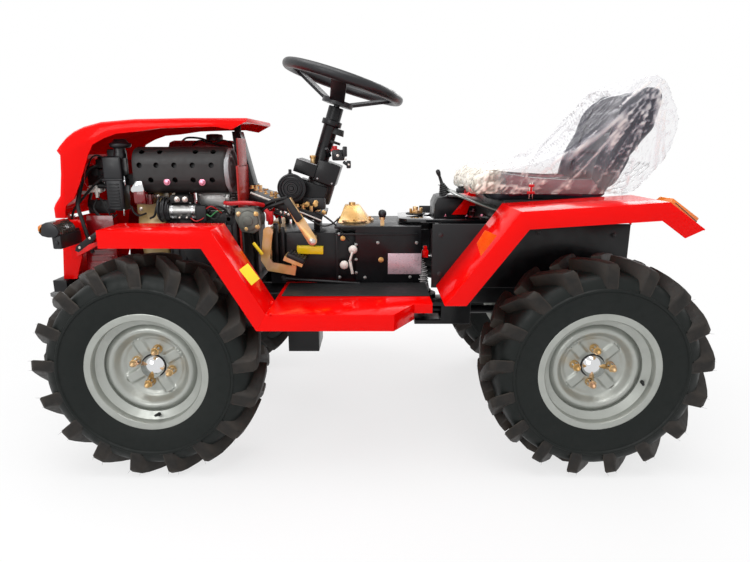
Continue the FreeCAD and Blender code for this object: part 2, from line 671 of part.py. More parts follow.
def gear_dome():
    """Plated cover on the gear case's lid."""
    z = CASE_TOP_Z
    low = [V(DOME_X0, -DOME_HALF_W, z), V(DOME_X1, -DOME_HALF_W, z), V(DOME_X1, DOME_HALF_W, z),
           V(DOME_X0, DOME_HALF_W, z)]
    high = [V(DOME_X0 + 38, -24, z + DOME_H), V(DOME_X1 - 21, -24, z + DOME_H),
            V(DOME_X1 - 21, 24, z + DOME_H),
            V(DOME_X0 + 38, 24, z + DOME_H)]
    loft = Part.makeLoft([Part.makePolygon(low + low[:1]), Part.makePolygon(high + high[:1])], True, True)
    knob = rod_z(z + DOME_H - 1, z + DOME_H + 8, (DOME_X0 + DOME_X1) / 2 + 8, 0, 11)
    return joined(loft, knob)


def range_knob():
    """Short lever with its knob beside the plated cover."""
    return joined(box(-34, -22, CASE_HALF_W - 16, CASE_HALF_W - 10, CASE_TOP_Z, CASE_TOP_Z + 24),
                  rod_z(CASE_TOP_Z + 20, CASE_TOP_Z + 36, -28, CASE_HALF_W - 13, 9))


def side_path():
    """Outer line of the front fender and footboard, front to rear."""
    return [(FENDER_FRONT_X, FENDER_TOP_Z), (FENDER_BEND_X, FENDER_TOP_Z), (FENDER_FOOT_X, FOOT_TOP_Z),
            (FOOT_REAR_X, FOOT_TOP_Z)]


def front_fender():
    """Left front fender: flat top, slope down to the footboard, folded outer edge and front stay."""
    outer = side_path()[:3]
    skin = inset(side_path(), SHEET_T)[:3]
    lip = inset(side_path(), LIP)[:3]
    sheet = folded_sheet(outer, skin, lip, FRONT_FENDER_Y, SIDE_Y, [SIDE_Y - SHEET_T])
    foot_x = PANEL_TOP_X - 32
    foot = box(foot_x - 16, foot_x + 16, PANEL_HALF_W, PANEL_HALF_W + 5, 572, 606)
    stay = bar((FENDER_FRONT_X - 12, FRONT_FENDER_Y + 30, FENDER_TOP_Z - SHEET_T - 8),
               (foot_x, PANEL_HALF_W, 589), 6, 22)
    beyond = box(foot_x - 60, foot_x + 60, PANEL_HALF_W - 60, PANEL_HALF_W, 500, 700)
    return joined(sheet, stay, foot).cut(beyond)


def footboard():
    """Left footboard with its folded outer edge, chamfered rear corner and tongue."""
    outline = [(FENDER_FOOT_X, GEARBOX_HALF_W), (FENDER_FOOT_X, SIDE_Y), (FOOT_REAR_X, SIDE_Y),
               (FOOT_REAR_X - CHAMFER_L, TONGUE_Y), (TONGUE_REAR_X, TONGUE_Y),
               (TONGUE_REAR_X, GEARBOX_HALF_W)]
    floor = flat_plate(outline, FOOT_LOW_Z, FOOT_TOP_Z)
    outer = side_path()[2:]
    lip = inset(side_path(), LIP)[2:]
    edge = side_plate(outer + lip[::-1], SIDE_Y - SHEET_T, SIDE_Y)
    corner = flat_plate([(FOOT_REAR_X, SIDE_Y), (FOOT_REAR_X - CHAMFER_L, TONGUE_Y),
                         (FOOT_REAR_X - CHAMFER_L + SHEET_T, TONGUE_Y - 2),
                         (FOOT_REAR_X, SIDE_Y - SHEET_T * 2)],
                        FOOT_TOP_Z - LIP, FOOT_TOP_Z)
    tail = box(TONGUE_REAR_X, FOOT_REAR_X - CHAMFER_L + SHEET_T, TONGUE_Y - SHEET_T, TONGUE_Y,
               FOOT_TOP_Z - LIP * 0.6, FOOT_TOP_Z)
    return joined(floor, edge, corner, tail)


def foot_mats():
    """Ribbed rubber mats on both footboards."""
    mat = box(TONGUE_REAR_X, FENDER_FOOT_X - 12, CASE_HALF_W, MAT_OUT_Y, FOOT_TOP_Z,
              FOOT_TOP_Z + FOOT_MAT_T)
    return Part.makeCompound([mat, mirrored(mat)])


def hand_lever():
    """Hand lever on the gearbox's left side: pin, flat arm with a round end, and grip."""
    pin = rod_y(GEARBOX_HALF_W, 178, LEVER_X, LEVER_Z, 9)
    elbow = (LEVER_X + 44, LEVER_Z + 75)
    tip = (LEVER_X + 72, LEVER_Z + 126)
    arm = strap([(LEVER_X, LEVER_Z), elbow], 29, 169, 176)
    grip = strap([elbow, tip], 25, 162, 184)
    return joined(pin, arm, rod_y(169, 176, LEVER_X, LEVER_Z, 14.5), grip)


def pedals():
    """Two pedals on their common cross shaft, with the shaft's block on the gearbox."""
    z = GEARBOX_TOP_Z + 14
    shaft = rod_y(-PEDAL_Y - 5, PEDAL_Y + 5, PEDAL_X, z, PEDAL_SHAFT_R)
    block = box(GEARBOX_FRONT_X - 26, GEARBOX_FRONT_X, -45, 45, GEARBOX_TOP_Z, z + 14)
    pieces = [shaft, block]
    heel = (PEDAL_X - 2, z - 108)
    toe = (PEDAL_X - 80, z - 122)
    arm = joined(strap([(PEDAL_X, z), (PEDAL_X + 12, z - 84), heel, toe], 28, PEDAL_Y - 4, PEDAL_Y + 4),
                 rod_y(PEDAL_Y - 4, PEDAL_Y + 4, PEDAL_X, z, 15))
    neck = strap([(toe[0] + 8, toe[1]), (toe[0] + 2, toe[1] + 36)], 14, PEDAL_Y - 4, PEDAL_Y + 4)
    pad = strap([(toe[0] - 26, toe[1] + 26), (toe[0] + 30, toe[1] + 47)], 15, PEDAL_Y - 35, PEDAL_Y + 35)
    for piece in (arm, neck, pad):
        pieces += [piece, mirrored(piece)]
    return joined(*pieces)


# ---------------------------------------------------------------- hood, panel and lamps
def hood_outline():
    """Outer line of the hood in side view, from the nose's foot up and back to the rear edge."""
    x = HOOD_NOSE_X
    low = HOOD_LOW_Z
    top = HOOD_TOP_Z
    return [(x, low), (x, low + 30), (x - 6, low + 42), (x - 24, low + 66), (x - 35, low + 131),
            (x - 40, low + 183), (x - 31, top - 92), (x - 44, top - 76), (x - 66, top - 54),
            (x - 89, top - 38), (x - 121, top - 24), (x - 172, top - 11), (x - 270, top - 3), (x - 417, top),
            (HOOD_REAR_X, top)]


def hood_edge():
    """Lower edge of the hood's sides, from the rear forward and down to the nose's foot."""
    x = HOOD_NOSE_X
    low = HOOD_LOW_Z
    top = HOOD_TOP_Z
    return [(HOOD_REAR_X, top - 10), (HOOD_REAR_X + 44, top - 33), (HOOD_REAR_X + 89, top - 25),
            (x - 438, top - 26),
            (x - 346, top - 29), (x - 275, top - 39), (x - 219, top - 44), (x - 181, top - 57),
            (x - 146, top - 75),
            (x - 129, top - 104), (x - 122, low + 167), (x - 94, low + 102), (x - 72, low + 58),
            (x - 45, low + 37),
            (x - 40, low + 18), (x - 40, low)]


def hood_block(depth):
    """Closed form of the hood with rounded long edges, moved inwards by depth all round."""
    rounding = [(0, 14), (5, 5), (14, 0)]
    half = HOOD_HALF_W - depth
    stations = [(-half + a, k) for a, k in rounding] + [(half - a, k) for a, k in rounding[::-1]]
    loops = []
    for y, k in stations:
        path = inset(hood_outline(), depth + k)
        rear = (HOOD_REAR_X + depth, path[-1][1])
        low = HOOD_LOW_Z - 2 * depth
        loop = [(path[0][0], low)] + path[1:-1] + [rear, (rear[0], low)]
        loops.append([V(x, y, z) for x, z in loop])
    faces = [flat(*loops[0]), flat(*loops[-1])]
    for here, there in zip(loops, loops[1:]):
        for i in range(len(here)):
            j = (i + 1) % len(here)
            faces.append(flat(here[i], there[i], there[j], here[j]))
    return closed(faces)


def hood():
    """Hood shell: one curved skin with shallow sides, open below, with its hinge arms."""
    edge = hood_edge()
    below = [(edge[-1][0], HOOD_LOW_Z - 20), (HOOD_REAR_X - 20, HOOD_LOW_Z - 20),
             (HOOD_REAR_X - 20, edge[0][1])]
    shell = hood_block(0).cut(hood_block(HOOD_T)).cut(side_plate(edge + below, -HOOD_HALF_W - 1,
                                                                 HOOD_HALF_W + 1))
    arm = joined(side_plate([(HINGE_X, HINGE_Z - HINGE_BOSS_R), (HOOD_NOSE_X - 3, HINGE_Z - HINGE_BOSS_R),
                             (HOOD_NOSE_X - 3, HINGE_Z + 12), (HINGE_X, HINGE_Z + HINGE_BOSS_R)], 150, 162),
                 rod_y(150, 162, HINGE_X, HINGE_Z, HINGE_BOSS_R))
    solid = joined(shell, arm, mirrored(arm))
    bore = rod_y(149, 163, HINGE_X, HINGE_Z, HINGE_R + RUN_GAP)
    return solid.cut([bore, mirrored(bore)])


def front_panel():
    """Lower front panel under the hood's nose, with folded sides and the hood's hinge pins."""
    w = PANEL_HALF_W
    low = BUMPER_TOP_Z
    face = side_plate([(PANEL_TOP_X, PANEL_TOP_Z), (PANEL_LOW_X, low), (PANEL_LOW_X - HOOD_T, low),
                       (PANEL_TOP_X - HOOD_T, PANEL_TOP_Z)], -w, w)
    side = side_plate([(PANEL_TOP_X, PANEL_TOP_Z), (PANEL_LOW_X, low), (PANEL_LOW_X - PANEL_FOOT_L, low),
                       (PANEL_TOP_X - PANEL_SIDE_L, PANEL_TOP_Z - 43),
                       (PANEL_TOP_X - PANEL_SIDE_L, PANEL_TOP_Z - 14),
                       (PANEL_TOP_X - PANEL_SIDE_L + 14, PANEL_TOP_Z)], w - HOOD_T, w)
    ear = joined(side_plate([(PANEL_TOP_X - 12, PANEL_TOP_Z - 30),
                             (PANEL_TOP_X - HOOD_T + 1, PANEL_TOP_Z - 30),
                             (PANEL_TOP_X, PANEL_TOP_Z), (HINGE_X, HINGE_Z - HINGE_BOSS_R),
                             (HINGE_X - 4, HINGE_Z + HINGE_BOSS_R - 1), (PANEL_TOP_X - 12, PANEL_TOP_Z)],
                            140, 148),
                 rod_y(140, 148, HINGE_X, HINGE_Z, HINGE_BOSS_R),
                 rod_y(141, 165, HINGE_X, HINGE_Z, HINGE_R))
    return joined(face, side, mirrored(side), ear, mirrored(ear))


def front_lamps():
    """Turn lamps on blocks beside the front panel."""
    x = PANEL_TOP_X
    z = PANEL_TOP_Z
    block = box(x - 56, x - 30, PANEL_HALF_W, LAMP_OUT_Y - 6, z - 69, z - 29)
    lamp = side_plate([(x - 54, z - 31), (x - 50, z - 5), (x - 28, z + 9), (x - 6, z - 1), (x + 2, z - 23),
                       (x - 10, z - 35)], LAMP_IN_Y, LAMP_OUT_Y)
    both = joined(block, lamp)
    return Part.makeCompound([both, mirrored(both)])


def firewall():
    """Upright plate behind the engine, taller on the left, notched round the hood's post."""
    outline = [(-FIREWALL_HALF_W, RAIL_TOP_Z), (FIREWALL_HALF_W, RAIL_TOP_Z),
               (FIREWALL_HALF_W, FIREWALL_HIGH_Z),
               (POST_HALF_W, FIREWALL_HIGH_Z), (POST_HALF_W, CRANKCASE_TOP_Z),
               (-POST_HALF_W, CRANKCASE_TOP_Z),
               (-POST_HALF_W, FIREWALL_LOW_Z), (-FIREWALL_HALF_W, FIREWALL_LOW_Z)]
    return flat(*[V(FIREWALL_X, y, z) for y, z in outline]).extrude(V(FIREWALL_T, 0, 0))


def hood_post():
    """Channel that stands on the rails behind the engine and carries the buffer under the hood's rear."""
    w = POST_HALF_W
    rear = [(POST_X, RAIL_TOP_Z), (POST_X, CRANKCASE_TOP_Z + 90), (POST_X + 38, POST_TOP_Z)]
    front = [(POST_X + 62, POST_TOP_Z), (POST_X + 42, CRANKCASE_TOP_Z + 20),
             (FIREWALL_X, CRANKCASE_TOP_Z), (FIREWALL_X, RAIL_TOP_Z)]
    back = inset(rear, -SHEET_T)
    cheek = side_plate(rear + front, w - SHEET_T, w)
    cap = box(POST_X + 38, POST_X + 62, -w, w, POST_TOP_Z - SHEET_T, POST_TOP_Z)
    foot = box(POST_X - 18, FIREWALL_X, -RAIL_OUT_Y, RAIL_OUT_Y, RAIL_TOP_Z, RAIL_TOP_Z + SHEET_T)
    buffer = rod_z(POST_TOP_Z - 1, HOOD_TOP_Z - HOOD_T - SWING_GAP, POST_X + 50, 0, 11)
    return joined(side_plate(rear + back[::-1], -w, w), cheek, mirrored(cheek), cap, foot, buffer)


# ---------------------------------------------------------------- engine
def engine():
    """Crankcase on the rails, with the cylinder, its fins and the rocker cover."""
    crankcase = box(CRANKCASE_X0, CRANKCASE_X1, -CRANKCASE_HALF_W, CRANKCASE_HALF_W, RAIL_TOP_Z,
                    CRANKCASE_TOP_Z)
    head = box(HEAD_X0, HEAD_X1, -HEAD_HALF_W, HEAD_HALF_W, CRANKCASE_TOP_Z - 1, HEAD_TOP_Z)
    rocker = box(HEAD_X0, HEAD_X1, -HEAD_HALF_W, ROCKER_Y, HEAD_TOP_Z - 1, ROCKER_TOP_Z)
    return joined(crankcase, head, rocker)


def fan_shroud():
    """Round fan housing on the crankcase's front face."""
    return joined(rod_x(CRANKCASE_X1, SHROUD_X1, 0, CRANK_Z, SHROUD_R),
                  box(CRANKCASE_X1, SHROUD_X1, -70, 70, RAIL_TOP_Z, CRANK_Z))


def starter_motor():
    """Starter beside the crankcase, on its bracket."""
    y = STARTER_Y
    z = STARTER_Z
    return joined(rod_x(STARTER_X0, STARTER_X1, y, z, STARTER_R),
                  rod_x(STARTER_X1, CRANKCASE_X1 - 2, y, z, STARTER_R - 10),
                  box(STARTER_X0 + 28, STARTER_X1 - 25, CRANKCASE_HALF_W, y, z - 58, z - 13))


def muffler():
    """Muffler in its squarish heat shield, with its round end disc and the exhaust stub."""
    shield = box(MUFFLER_X0 + 8, MUFFLER_X1, MUFFLER_Y - MUFFLER_HALF_W, MUFFLER_Y + MUFFLER_HALF_W,
                 MUFFLER_Z - MUFFLER_HALF_H, MUFFLER_Z + MUFFLER_HALF_H)
    long_edges = [e for e in shield.Edges if abs(e.Vertexes[0].X - e.Vertexes[-1].X) > 1]
    return joined(shield.makeFillet(46, long_edges),
                  rod_x(MUFFLER_X0, MUFFLER_X0 + 9, MUFFLER_Y, MUFFLER_Z, MUFFLER_HALF_W - 3),
                  rod_y(ROCKER_Y, MUFFLER_Y, (HEAD_X0 + HEAD_X1) / 2, ROCKER_TOP_Z - 18, 16))


def air_cleaner():
    """Upright air cleaner with its bowl, its rain cap and the intake pipe."""
    pipe_z = ROCKER_TOP_Z - 22
    cap_z = MUFFLER_Z + MUFFLER_HALF_H + 1
    return joined(rod_z(STACK_LOW_Z, STACK_LOW_Z + BOWL_H, BOWL_X, STACK_Y, BOWL_R),
                  rod_z(STACK_LOW_Z + BOWL_H - 1, STACK_TOP_Z, STACK_X, STACK_Y, STACK_R),
                  rod_z(STACK_TOP_Z - 1, cap_z + 1, STACK_X - 6, STACK_Y, STACK_R * 0.6),
                  rod_z(cap_z, cap_z + 16, STACK_X - 12, STACK_Y, STACK_R + 3),
                  rod_x(HEAD_X1, STACK_X, -20, pipe_z, INTAKE_R),
                  rod_y(-20, STACK_Y, STACK_X, pipe_z, INTAKE_R),
                  Part.makeSphere(INTAKE_R, V(STACK_X, -20, pipe_z)))


def fuel_tank():
    """Fuel tank on two legs, with its filler cap."""
    tank = box(TANK_X0, TANK_X1, TANK_Y0, TANK_Y1, TANK_LOW_Z, TANK_TOP_Z)
    tank = tank.makeFillet(22, tank.Edges)
    legs = [box(x, x + 14, TANK_LEG_Y - 10, TANK_LEG_Y + 10, CRANKCASE_TOP_Z, TANK_LOW_Z + 8)
            for x in (TANK_X0 + 20, CRANKCASE_X1 - 25)]
    cap_top = min(TANK_TOP_Z + 22, HOOD_TOP_Z - HOOD_T - SWING_GAP)
    return joined(tank, *legs, rod_z(TANK_TOP_Z - 4, cap_top, TANK_X0 + 85, TANK_LEG_Y + 8, 28))


# ---------------------------------------------------------------- steering column and wheel
def column_plate():
    """Inclined channel under the steering column, from the hood's post down to the gearbox."""
    w = COLUMN_PLATE_HALF_W
    skin = box(-COLUMN_PLATE_BACK, COLUMN_PLATE_FRONT, -w, w, -SHEET_T, 0)
    flange = box(-COLUMN_PLATE_BACK, COLUMN_PLATE_FRONT, w - SHEET_T, w, -24, 0)
    leg = box(COLUMN_X - 42, COLUMN_X - 22, -40, 40, GEARBOX_TOP_Z, COLUMN_Z - 15)
    end_z = COLUMN_Z + COLUMN_PLATE_FRONT * math.sin(math.radians(COLUMN_TILT))
    lip = box(POST_X - 6, POST_X, -POST_HALF_W, POST_HALF_W, end_z - 24, end_z + 20)
    return joined(on_column(joined(skin, flange, mirrored(flange))), leg, lip)


def steering_column():
    """Leaning column tube with the steering unit at its foot."""
    tube = Part.makeCylinder(COLUMN_R, COLUMN_L, V(0, 0, 0))
    corner = V(-STEER_UNIT_L / 2, -STEER_UNIT_W / 2, 0)
    unit = joined(Part.makeBox(STEER_UNIT_L, STEER_UNIT_W, STEER_UNIT_H, corner),
                  Part.makeCylinder(COLUMN_R + 8, 18, V(0, 0, COLUMN_L - 60)))
    bore = Part.makeCylinder(STEER_SHAFT_R + RUN_GAP, 81, V(0, 0, COLUMN_L - 80))
    return on_column(joined(tube, unit).cut(bore))


def switch_box():
    """Switch and instrument box round the column."""
    corner = V(-SWITCH_BOX_BACK, -SWITCH_BOX_W / 2, SWITCH_BOX_LOW)
    shell = Part.makeBox(SWITCH_BOX_L, SWITCH_BOX_W, SWITCH_BOX_H, corner)
    return on_column(shell.cut(Part.makeCylinder(COLUMN_R, COLUMN_L)))


def horn():
    """Disc horn on the left side of the steering unit."""
    return joined(rod_y(HORN_Y, HORN_Y + HORN_T, HORN_X, HORN_Z, HORN_R),
                  rod_y(STEER_UNIT_W / 2, HORN_Y + 4, HORN_X - 10, HORN_Z - 9, 12))


def steering_wheel():
    """Steering wheel: grip ring, three broad dished spokes, hub and shaft."""
    face = WHEEL_HEIGHT - WHEEL_DISH
    pieces = [Part.makeTorus(WHEEL_RING_R, WHEEL_GRIP_R, V(0, 0, WHEEL_HEIGHT), V(0, 0, 1)),
              Part.makeCylinder(STEER_SHAFT_R, face - COLUMN_L + 70, V(0, 0, COLUMN_L - 75)),
              Part.makeCylinder(WHEEL_HUB_R, WHEEL_HUB_T, V(0, 0, face - WHEEL_HUB_T))]
    for turn in (90, 210, 330):
        spoke = bar((WHEEL_HUB_R - 12, 0, face - 6), (WHEEL_RING_R - 2, 0, WHEEL_HEIGHT - 2), SPOKE_W,
                    SPOKE_T)
        spoke.rotate(V(0, 0, 0), V(0, 0, 1), turn)
        pieces.append(spoke)
    return on_column(joined(*pieces))


# ---------------------------------------------------------------- rear half
def rear_cover():
    """Sheet cover over the rear beam: deck, end walls and the two tall cheeks, open below."""
    t = SHEET_T
    w = COVER_HALF_W
    cheek = box(COVER_REAR_X, CHEEK_FRONT_X, w - t, w, CHEEK_LOW_Z, CHEEK_TOP_Z)
    return joined(box(COVER_REAR_X, COVER_FRONT_X, -w + t, w - t, COVER_TOP_Z - t, COVER_TOP_Z),
                  box(COVER_FRONT_X - t, COVER_FRONT_X, -w + t, w - t, BEAM_TOP_Z, COVER_TOP_Z),
                  box(COVER_REAR_X, COVER_REAR_X + t, -w + t, w - t, BEAM_TOP_Z, COVER_TOP_Z), cheek,
                  mirrored(cheek))


def rear_fender_path():
    """Outer line of the rear fender in side view, front to rear."""
    return [(-186, REAR_FENDER_FOOT_Z), (-370, 748), (-738, 772), (-835, 704)]


def rear_fender():
    """Left rear fender: sloped front, flat top and sloped tail, with both edges folded down."""
    outer = rear_fender_path()
    skin = inset(outer, SHEET_T)
    lip = inset(outer, LIP)
    inner_edge = inset(outer, LIP + 20)
    for path in (skin, lip, inner_edge):
        path[0] = at_height(path[0], path[1], REAR_FENDER_FOOT_Z)
    lip[-1] = between(lip[-1], lip[-2], TAIL_CUT)
    sheet = folded_sheet(outer, skin, lip, COVER_HALF_W, SIDE_Y, [SIDE_Y - SHEET_T])
    wall = side_plate(outer + inner_edge[::-1], COVER_HALF_W, COVER_HALF_W + SHEET_T)
    beyond = box(outer[-1][0] - LIP, COVER_REAR_X, COVER_HALF_W - 1, COVER_HALF_W + SHEET_T + 1,
                 REAR_FENDER_FOOT_Z, outer[2][1] + 1)
    return joined(sheet, wall.cut(beyond))


def rear_lamps():
    """Lamps on the rear fenders' sloped tails."""
    start, end = rear_fender_path()[2:]
    seat = [between(start, end, 0.08), between(start, end, 0.84)]
    lamp = side_plate(seat + inset(seat, -REAR_LAMP_H)[::-1], REAR_LAMP_IN_Y, REAR_LAMP_OUT_Y)
    return Part.makeCompound([lamp, mirrored(lamp)])


def console():
    """Lever console on the pivot plate, with its sloped back."""
    high, low = inset(slope_path(), SHEET_T)[:2]
    back = between(high, low, (CONSOLE_REAR_X - high[0]) / (low[0] - high[0]))
    outline = [(CONSOLE_FRONT_X, PLATE_TOP_Z), (CONSOLE_FRONT_X, CONSOLE_TOP_Z - 22),
               (CONSOLE_FRONT_X - 10, CONSOLE_TOP_Z),
               (high[0] + 1, CONSOLE_TOP_Z), (high[0] + 1, high[1]), back, (CONSOLE_REAR_X, PLATE_TOP_Z)]
    return side_plate(outline, -CONSOLE_HALF_W, CONSOLE_HALF_W)


def slope_path():
    """Upper line of the sloped cover, front to rear."""
    return [(SLOPE_FRONT_X, SLOPE_TOP_Z), (SLOPE_REAR_X, SLOPE_LOW_Z), (SEAT_BASE_FRONT_X, SLOPE_LOW_Z)]


def slope_plate():
    """Sloped cover from the console's back down to the seat base."""
    outer = slope_path()
    skin = inset(outer, SHEET_T)
    return side_plate(outer + skin[::-1], -SLOPE_HALF_W, SLOPE_HALF_W)


def gear_stick():
    """Gear stick with its rubber boot."""
    x = CONSOLE_FRONT_X - 25
    boot = Part.makeCone(16, 7, 36, V(x, 0, CONSOLE_TOP_Z), V(0, 0, 1))
    stick = Part.makeCylinder(5, 56, V(x, 0, CONSOLE_TOP_Z + 4), V(0.2, 0, 1))
    return joined(boot, stick, Part.makeSphere(10, V(x + 12, 0, CONSOLE_TOP_Z + 58)))


def seat_base():
    """Bent steel base under the seat."""
    w = SEAT_BASE_HALF_W
    t = SHEET_T
    x0 = SEAT_BASE_REAR_X
    x1 = SEAT_BASE_FRONT_X
    return joined(box(x0, x1, -w, w, SEAT_BASE_TOP_Z - t, SEAT_BASE_TOP_Z),
                  box(x1 - t, x1, -SLOPE_HALF_W, SLOPE_HALF_W, COVER_TOP_Z, SEAT_BASE_TOP_Z),
                  box(x0, x1, -w, -w + t, COVER_TOP_Z, SEAT_BASE_TOP_Z),
                  box(x0, x1, w - t, w, COVER_TOP_Z, SEAT_BASE_TOP_Z))


def seat_cushion():
    """Seat cushion, as a plain closed form."""
    z = SEAT_BASE_TOP_Z
    front = SEAT_BASE_FRONT_X
    rear = SEAT_BASE_REAR_X
    return side_plate([(front + 74, z + 12), (front + 68, z + 50), (front + 38, z + 72),
                       (front - 100, z + 52),
                       (rear + 50, z + 48), (rear - 10, z + 76), (rear - 16, z + 10), (rear + 30, z),
                       (front + 40, z)],
                      -SEAT_HALF_W, SEAT_HALF_W)


def seat_back():
    """Seat back, as a plain closed form."""
    z = SEAT_BASE_TOP_Z
    x = SEAT_BASE_REAR_X
    return side_plate([(x - 12, z + 86), (x - 22, z + 148), (x - 52, z + 258), (x - 76, z + 326),
                       (x - 110, z + 346),
                       (x - 146, z + 334), (x - 148, z + 298), (x - 116, z + 208), (x - 86, z + 128),
                       (x - 52, z + 48),
                       (x - 16, z + 12)], -SEAT_HALF_W + 15, SEAT_HALF_W - 15)


def drawbar():
    """End plate on the rear beam, with the drawbar's two plates."""
    x = BEAM_REAR_X
    z_mid = (HITCH_PLATE_LOW_Z + BEAM_TOP_Z) / 2
    w = HITCH_PLATE_HALF_W
    pieces = [box(x - PLATE_T, x, -w, w, HITCH_PLATE_LOW_Z, BEAM_TOP_Z)]
    for z in (z_mid - 62, z_mid - 12):
        pieces.append(box(HITCH_X, x - PLATE_T, -35, 35, z, z + PLATE_T))
    holes = [rod_z(z_mid - 90, z_mid + 30, HITCH_X + HITCH_HOLE_BACK, 0, HITCH_HOLE_R)]
    for y in (-HITCH_BOLT_DY / 2, HITCH_BOLT_DY / 2):
        for z in (z_mid + 5, z_mid + 5 + HITCH_BOLT_DZ):
            holes.append(rod_x(x - PLATE_T - 1, x + 1, y, z, HITCH_BOLT_R))
    return joined(*pieces).cut(holes)


# ---------------------------------------------------------------- assembly
def build():
    """Every node of the tractor, by name."""
    nodes = {}
    pairs = {"front_fender": front_fender(), "footboard": footboard(), "rear_fender": rear_fender()}
    for end, x in (("front", FRONT_X), ("rear", REAR_X)):
        pairs["tyre_" + end] = tyre(x)
        pairs["rim_" + end] = rim(x)
        pairs["hub_" + end] = hub(x)
    for name, shape in pairs.items():
        nodes[name + "_left"] = shape
        nodes[name + "_right"] = mirrored(shape)
    nodes["axle_front"] = axle_housing(FRONT_X, -1, RAIL_LOW_Z, DROP_FRONT_X)
    nodes["axle_rear"] = axle_housing(REAR_X, 1, BEAM_LOW_Z, PIVOT_X - JOINT_BALL_R - SWING_GAP)
    for make in (front_chassis, bumper, rear_chassis, pivot_plate, steering_ram, ram_rod, gearbox,
                 gear_case,
                 gear_dome, range_knob, foot_mats, hand_lever, pedals, hood, front_panel, front_lamps,
                 firewall,
                 hood_post, engine, fan_shroud, starter_motor, muffler, air_cleaner, fuel_tank,
                 column_plate,
                 steering_column, switch_box, horn, steering_wheel, rear_cover, rear_lamps, console,
                 slope_plate,
                 gear_stick, seat_base, seat_cushion, seat_back, drawbar):
        nodes[make.__name__] = make()
    return nodes


def main():
    """Builds every node and writes it."""
    os.makedirs("parts", exist_ok=True)
    for name, shape in build().items():
        print("%-24s solids %d valid %s volume %.0f" % (name, len(shape.Solids), shape.isValid(),
                                                        shape.Volume))
        shape.exportStep("parts/%s.step" % name)


main()
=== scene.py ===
"""Dressed model of a small articulated tractor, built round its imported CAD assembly.

Lengths in the forms below are millimetres in the row frame: +X forward, +Y to the driver's left, +Z up.
Every finished mesh is scaled to metres and lies where the tractor has it, on an object at the origin.
"""
import json
import logging
import math
import random
from collections.abc import Callable, Iterable, Sequence
from dataclasses import dataclass, field
from enum import Enum

import bmesh
import bpy
from mathutils import Matrix, Vector, bvhtree, noise

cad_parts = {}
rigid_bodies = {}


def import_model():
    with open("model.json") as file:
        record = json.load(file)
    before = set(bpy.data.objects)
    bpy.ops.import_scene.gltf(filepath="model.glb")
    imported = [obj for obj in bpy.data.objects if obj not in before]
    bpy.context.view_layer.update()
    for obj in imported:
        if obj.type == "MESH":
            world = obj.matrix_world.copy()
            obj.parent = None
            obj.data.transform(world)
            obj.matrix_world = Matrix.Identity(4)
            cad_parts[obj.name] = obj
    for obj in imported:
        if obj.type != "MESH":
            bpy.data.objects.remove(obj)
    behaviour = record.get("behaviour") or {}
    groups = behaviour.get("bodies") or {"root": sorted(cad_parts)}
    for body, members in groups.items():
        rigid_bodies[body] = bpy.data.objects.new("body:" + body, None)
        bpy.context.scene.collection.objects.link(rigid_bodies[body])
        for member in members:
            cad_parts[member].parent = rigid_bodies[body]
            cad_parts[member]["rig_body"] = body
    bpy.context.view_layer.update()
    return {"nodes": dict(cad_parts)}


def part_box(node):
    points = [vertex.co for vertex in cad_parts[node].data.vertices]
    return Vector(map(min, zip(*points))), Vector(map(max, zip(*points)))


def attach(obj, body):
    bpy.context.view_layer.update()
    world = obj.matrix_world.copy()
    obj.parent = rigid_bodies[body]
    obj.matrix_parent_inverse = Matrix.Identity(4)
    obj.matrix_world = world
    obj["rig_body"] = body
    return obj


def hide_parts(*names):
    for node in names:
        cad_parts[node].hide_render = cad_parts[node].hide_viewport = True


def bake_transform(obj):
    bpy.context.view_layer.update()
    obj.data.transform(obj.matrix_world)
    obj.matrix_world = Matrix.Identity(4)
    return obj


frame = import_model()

LOG = logging.getLogger("tractor")
MM = 0.001
FAR_AWAY = 99.0
Point = tuple[float, float, float]
Outline = Sequence[tuple[float, float]]
Form = bmesh.types.BMesh
Tree = bpy.types.NodeTree
Socket = bpy.types.NodeSocket


# Finishes


def linear(hex_code: str) -> tuple[float, float, float, float]:
    """Turns an sRGB hex colour into linear light.

    Args:
        hex_code: Six hex digits.

    Returns:
        Red, green, blue and an alpha of 1.
    """
    parts = [int(hex_code[i : i + 2], 16) / 255 for i in (0, 2, 4)]
    light = [p / 12.92 if p <= 0.04045 else ((p + 0.055) / 1.055) ** 2.4 for p in parts]
    return light[0], light[1], light[2], 1.0


def add_node(tree: Tree, kind: str, inputs: dict[str | int, object] | None = None,
        **settings: object) -> bpy.types.Node:
    """Adds one shader node with its settings, its values and its links.

    Args:
        tree: The material's node tree.
        kind: The node's type name, without the leading "ShaderNode".
        inputs: Values or output sockets, by input name or number.
        settings: Attributes of the node itself.

    Returns:
        The new node.
    """
    made = tree.nodes.new("ShaderNode" + kind)
    for name, value in settings.items():
        setattr(made, name, value)
    for name, value in (inputs or {}).items():
        if isinstance(value, Socket):
            tree.links.new(value, made.inputs[name])
        else:
            made.inputs[name].default_value = value
    return made


def ranged(tree: Tree, value: Socket, low: float, high: float, to_low: float, to_high: float) -> Socket:
    """Maps a value from one range to another, and keeps it inside.

    Args:
        tree: The material's node tree.
        value: What is mapped.
        low: Value that becomes to_low.
        high: Value that becomes to_high.
        to_low: The result's first end.
        to_high: The result's other end.

    Returns:
        The result's socket.
    """
    return add_node(tree, "MapRange", {"Value": value, 1: low, 2: high, 3: to_low, 4: to_high}).outputs[0]


def reckoned(tree: Tree, operation: str, one: Socket, two: Socket | float, clamp: bool = False) -> Socket:
    """Works something out from two values.

    Args:
        tree: The material's node tree.
        operation: Name of the sum, such as "ADD".
        one: First value.
        two: Second value.
        clamp: Whether the result is kept between 0 and 1.

    Returns:
        The result's socket.
    """
    return add_node(tree, "Math", {0: one, 1: two}, operation=operation, use_clamp=clamp).outputs[0]


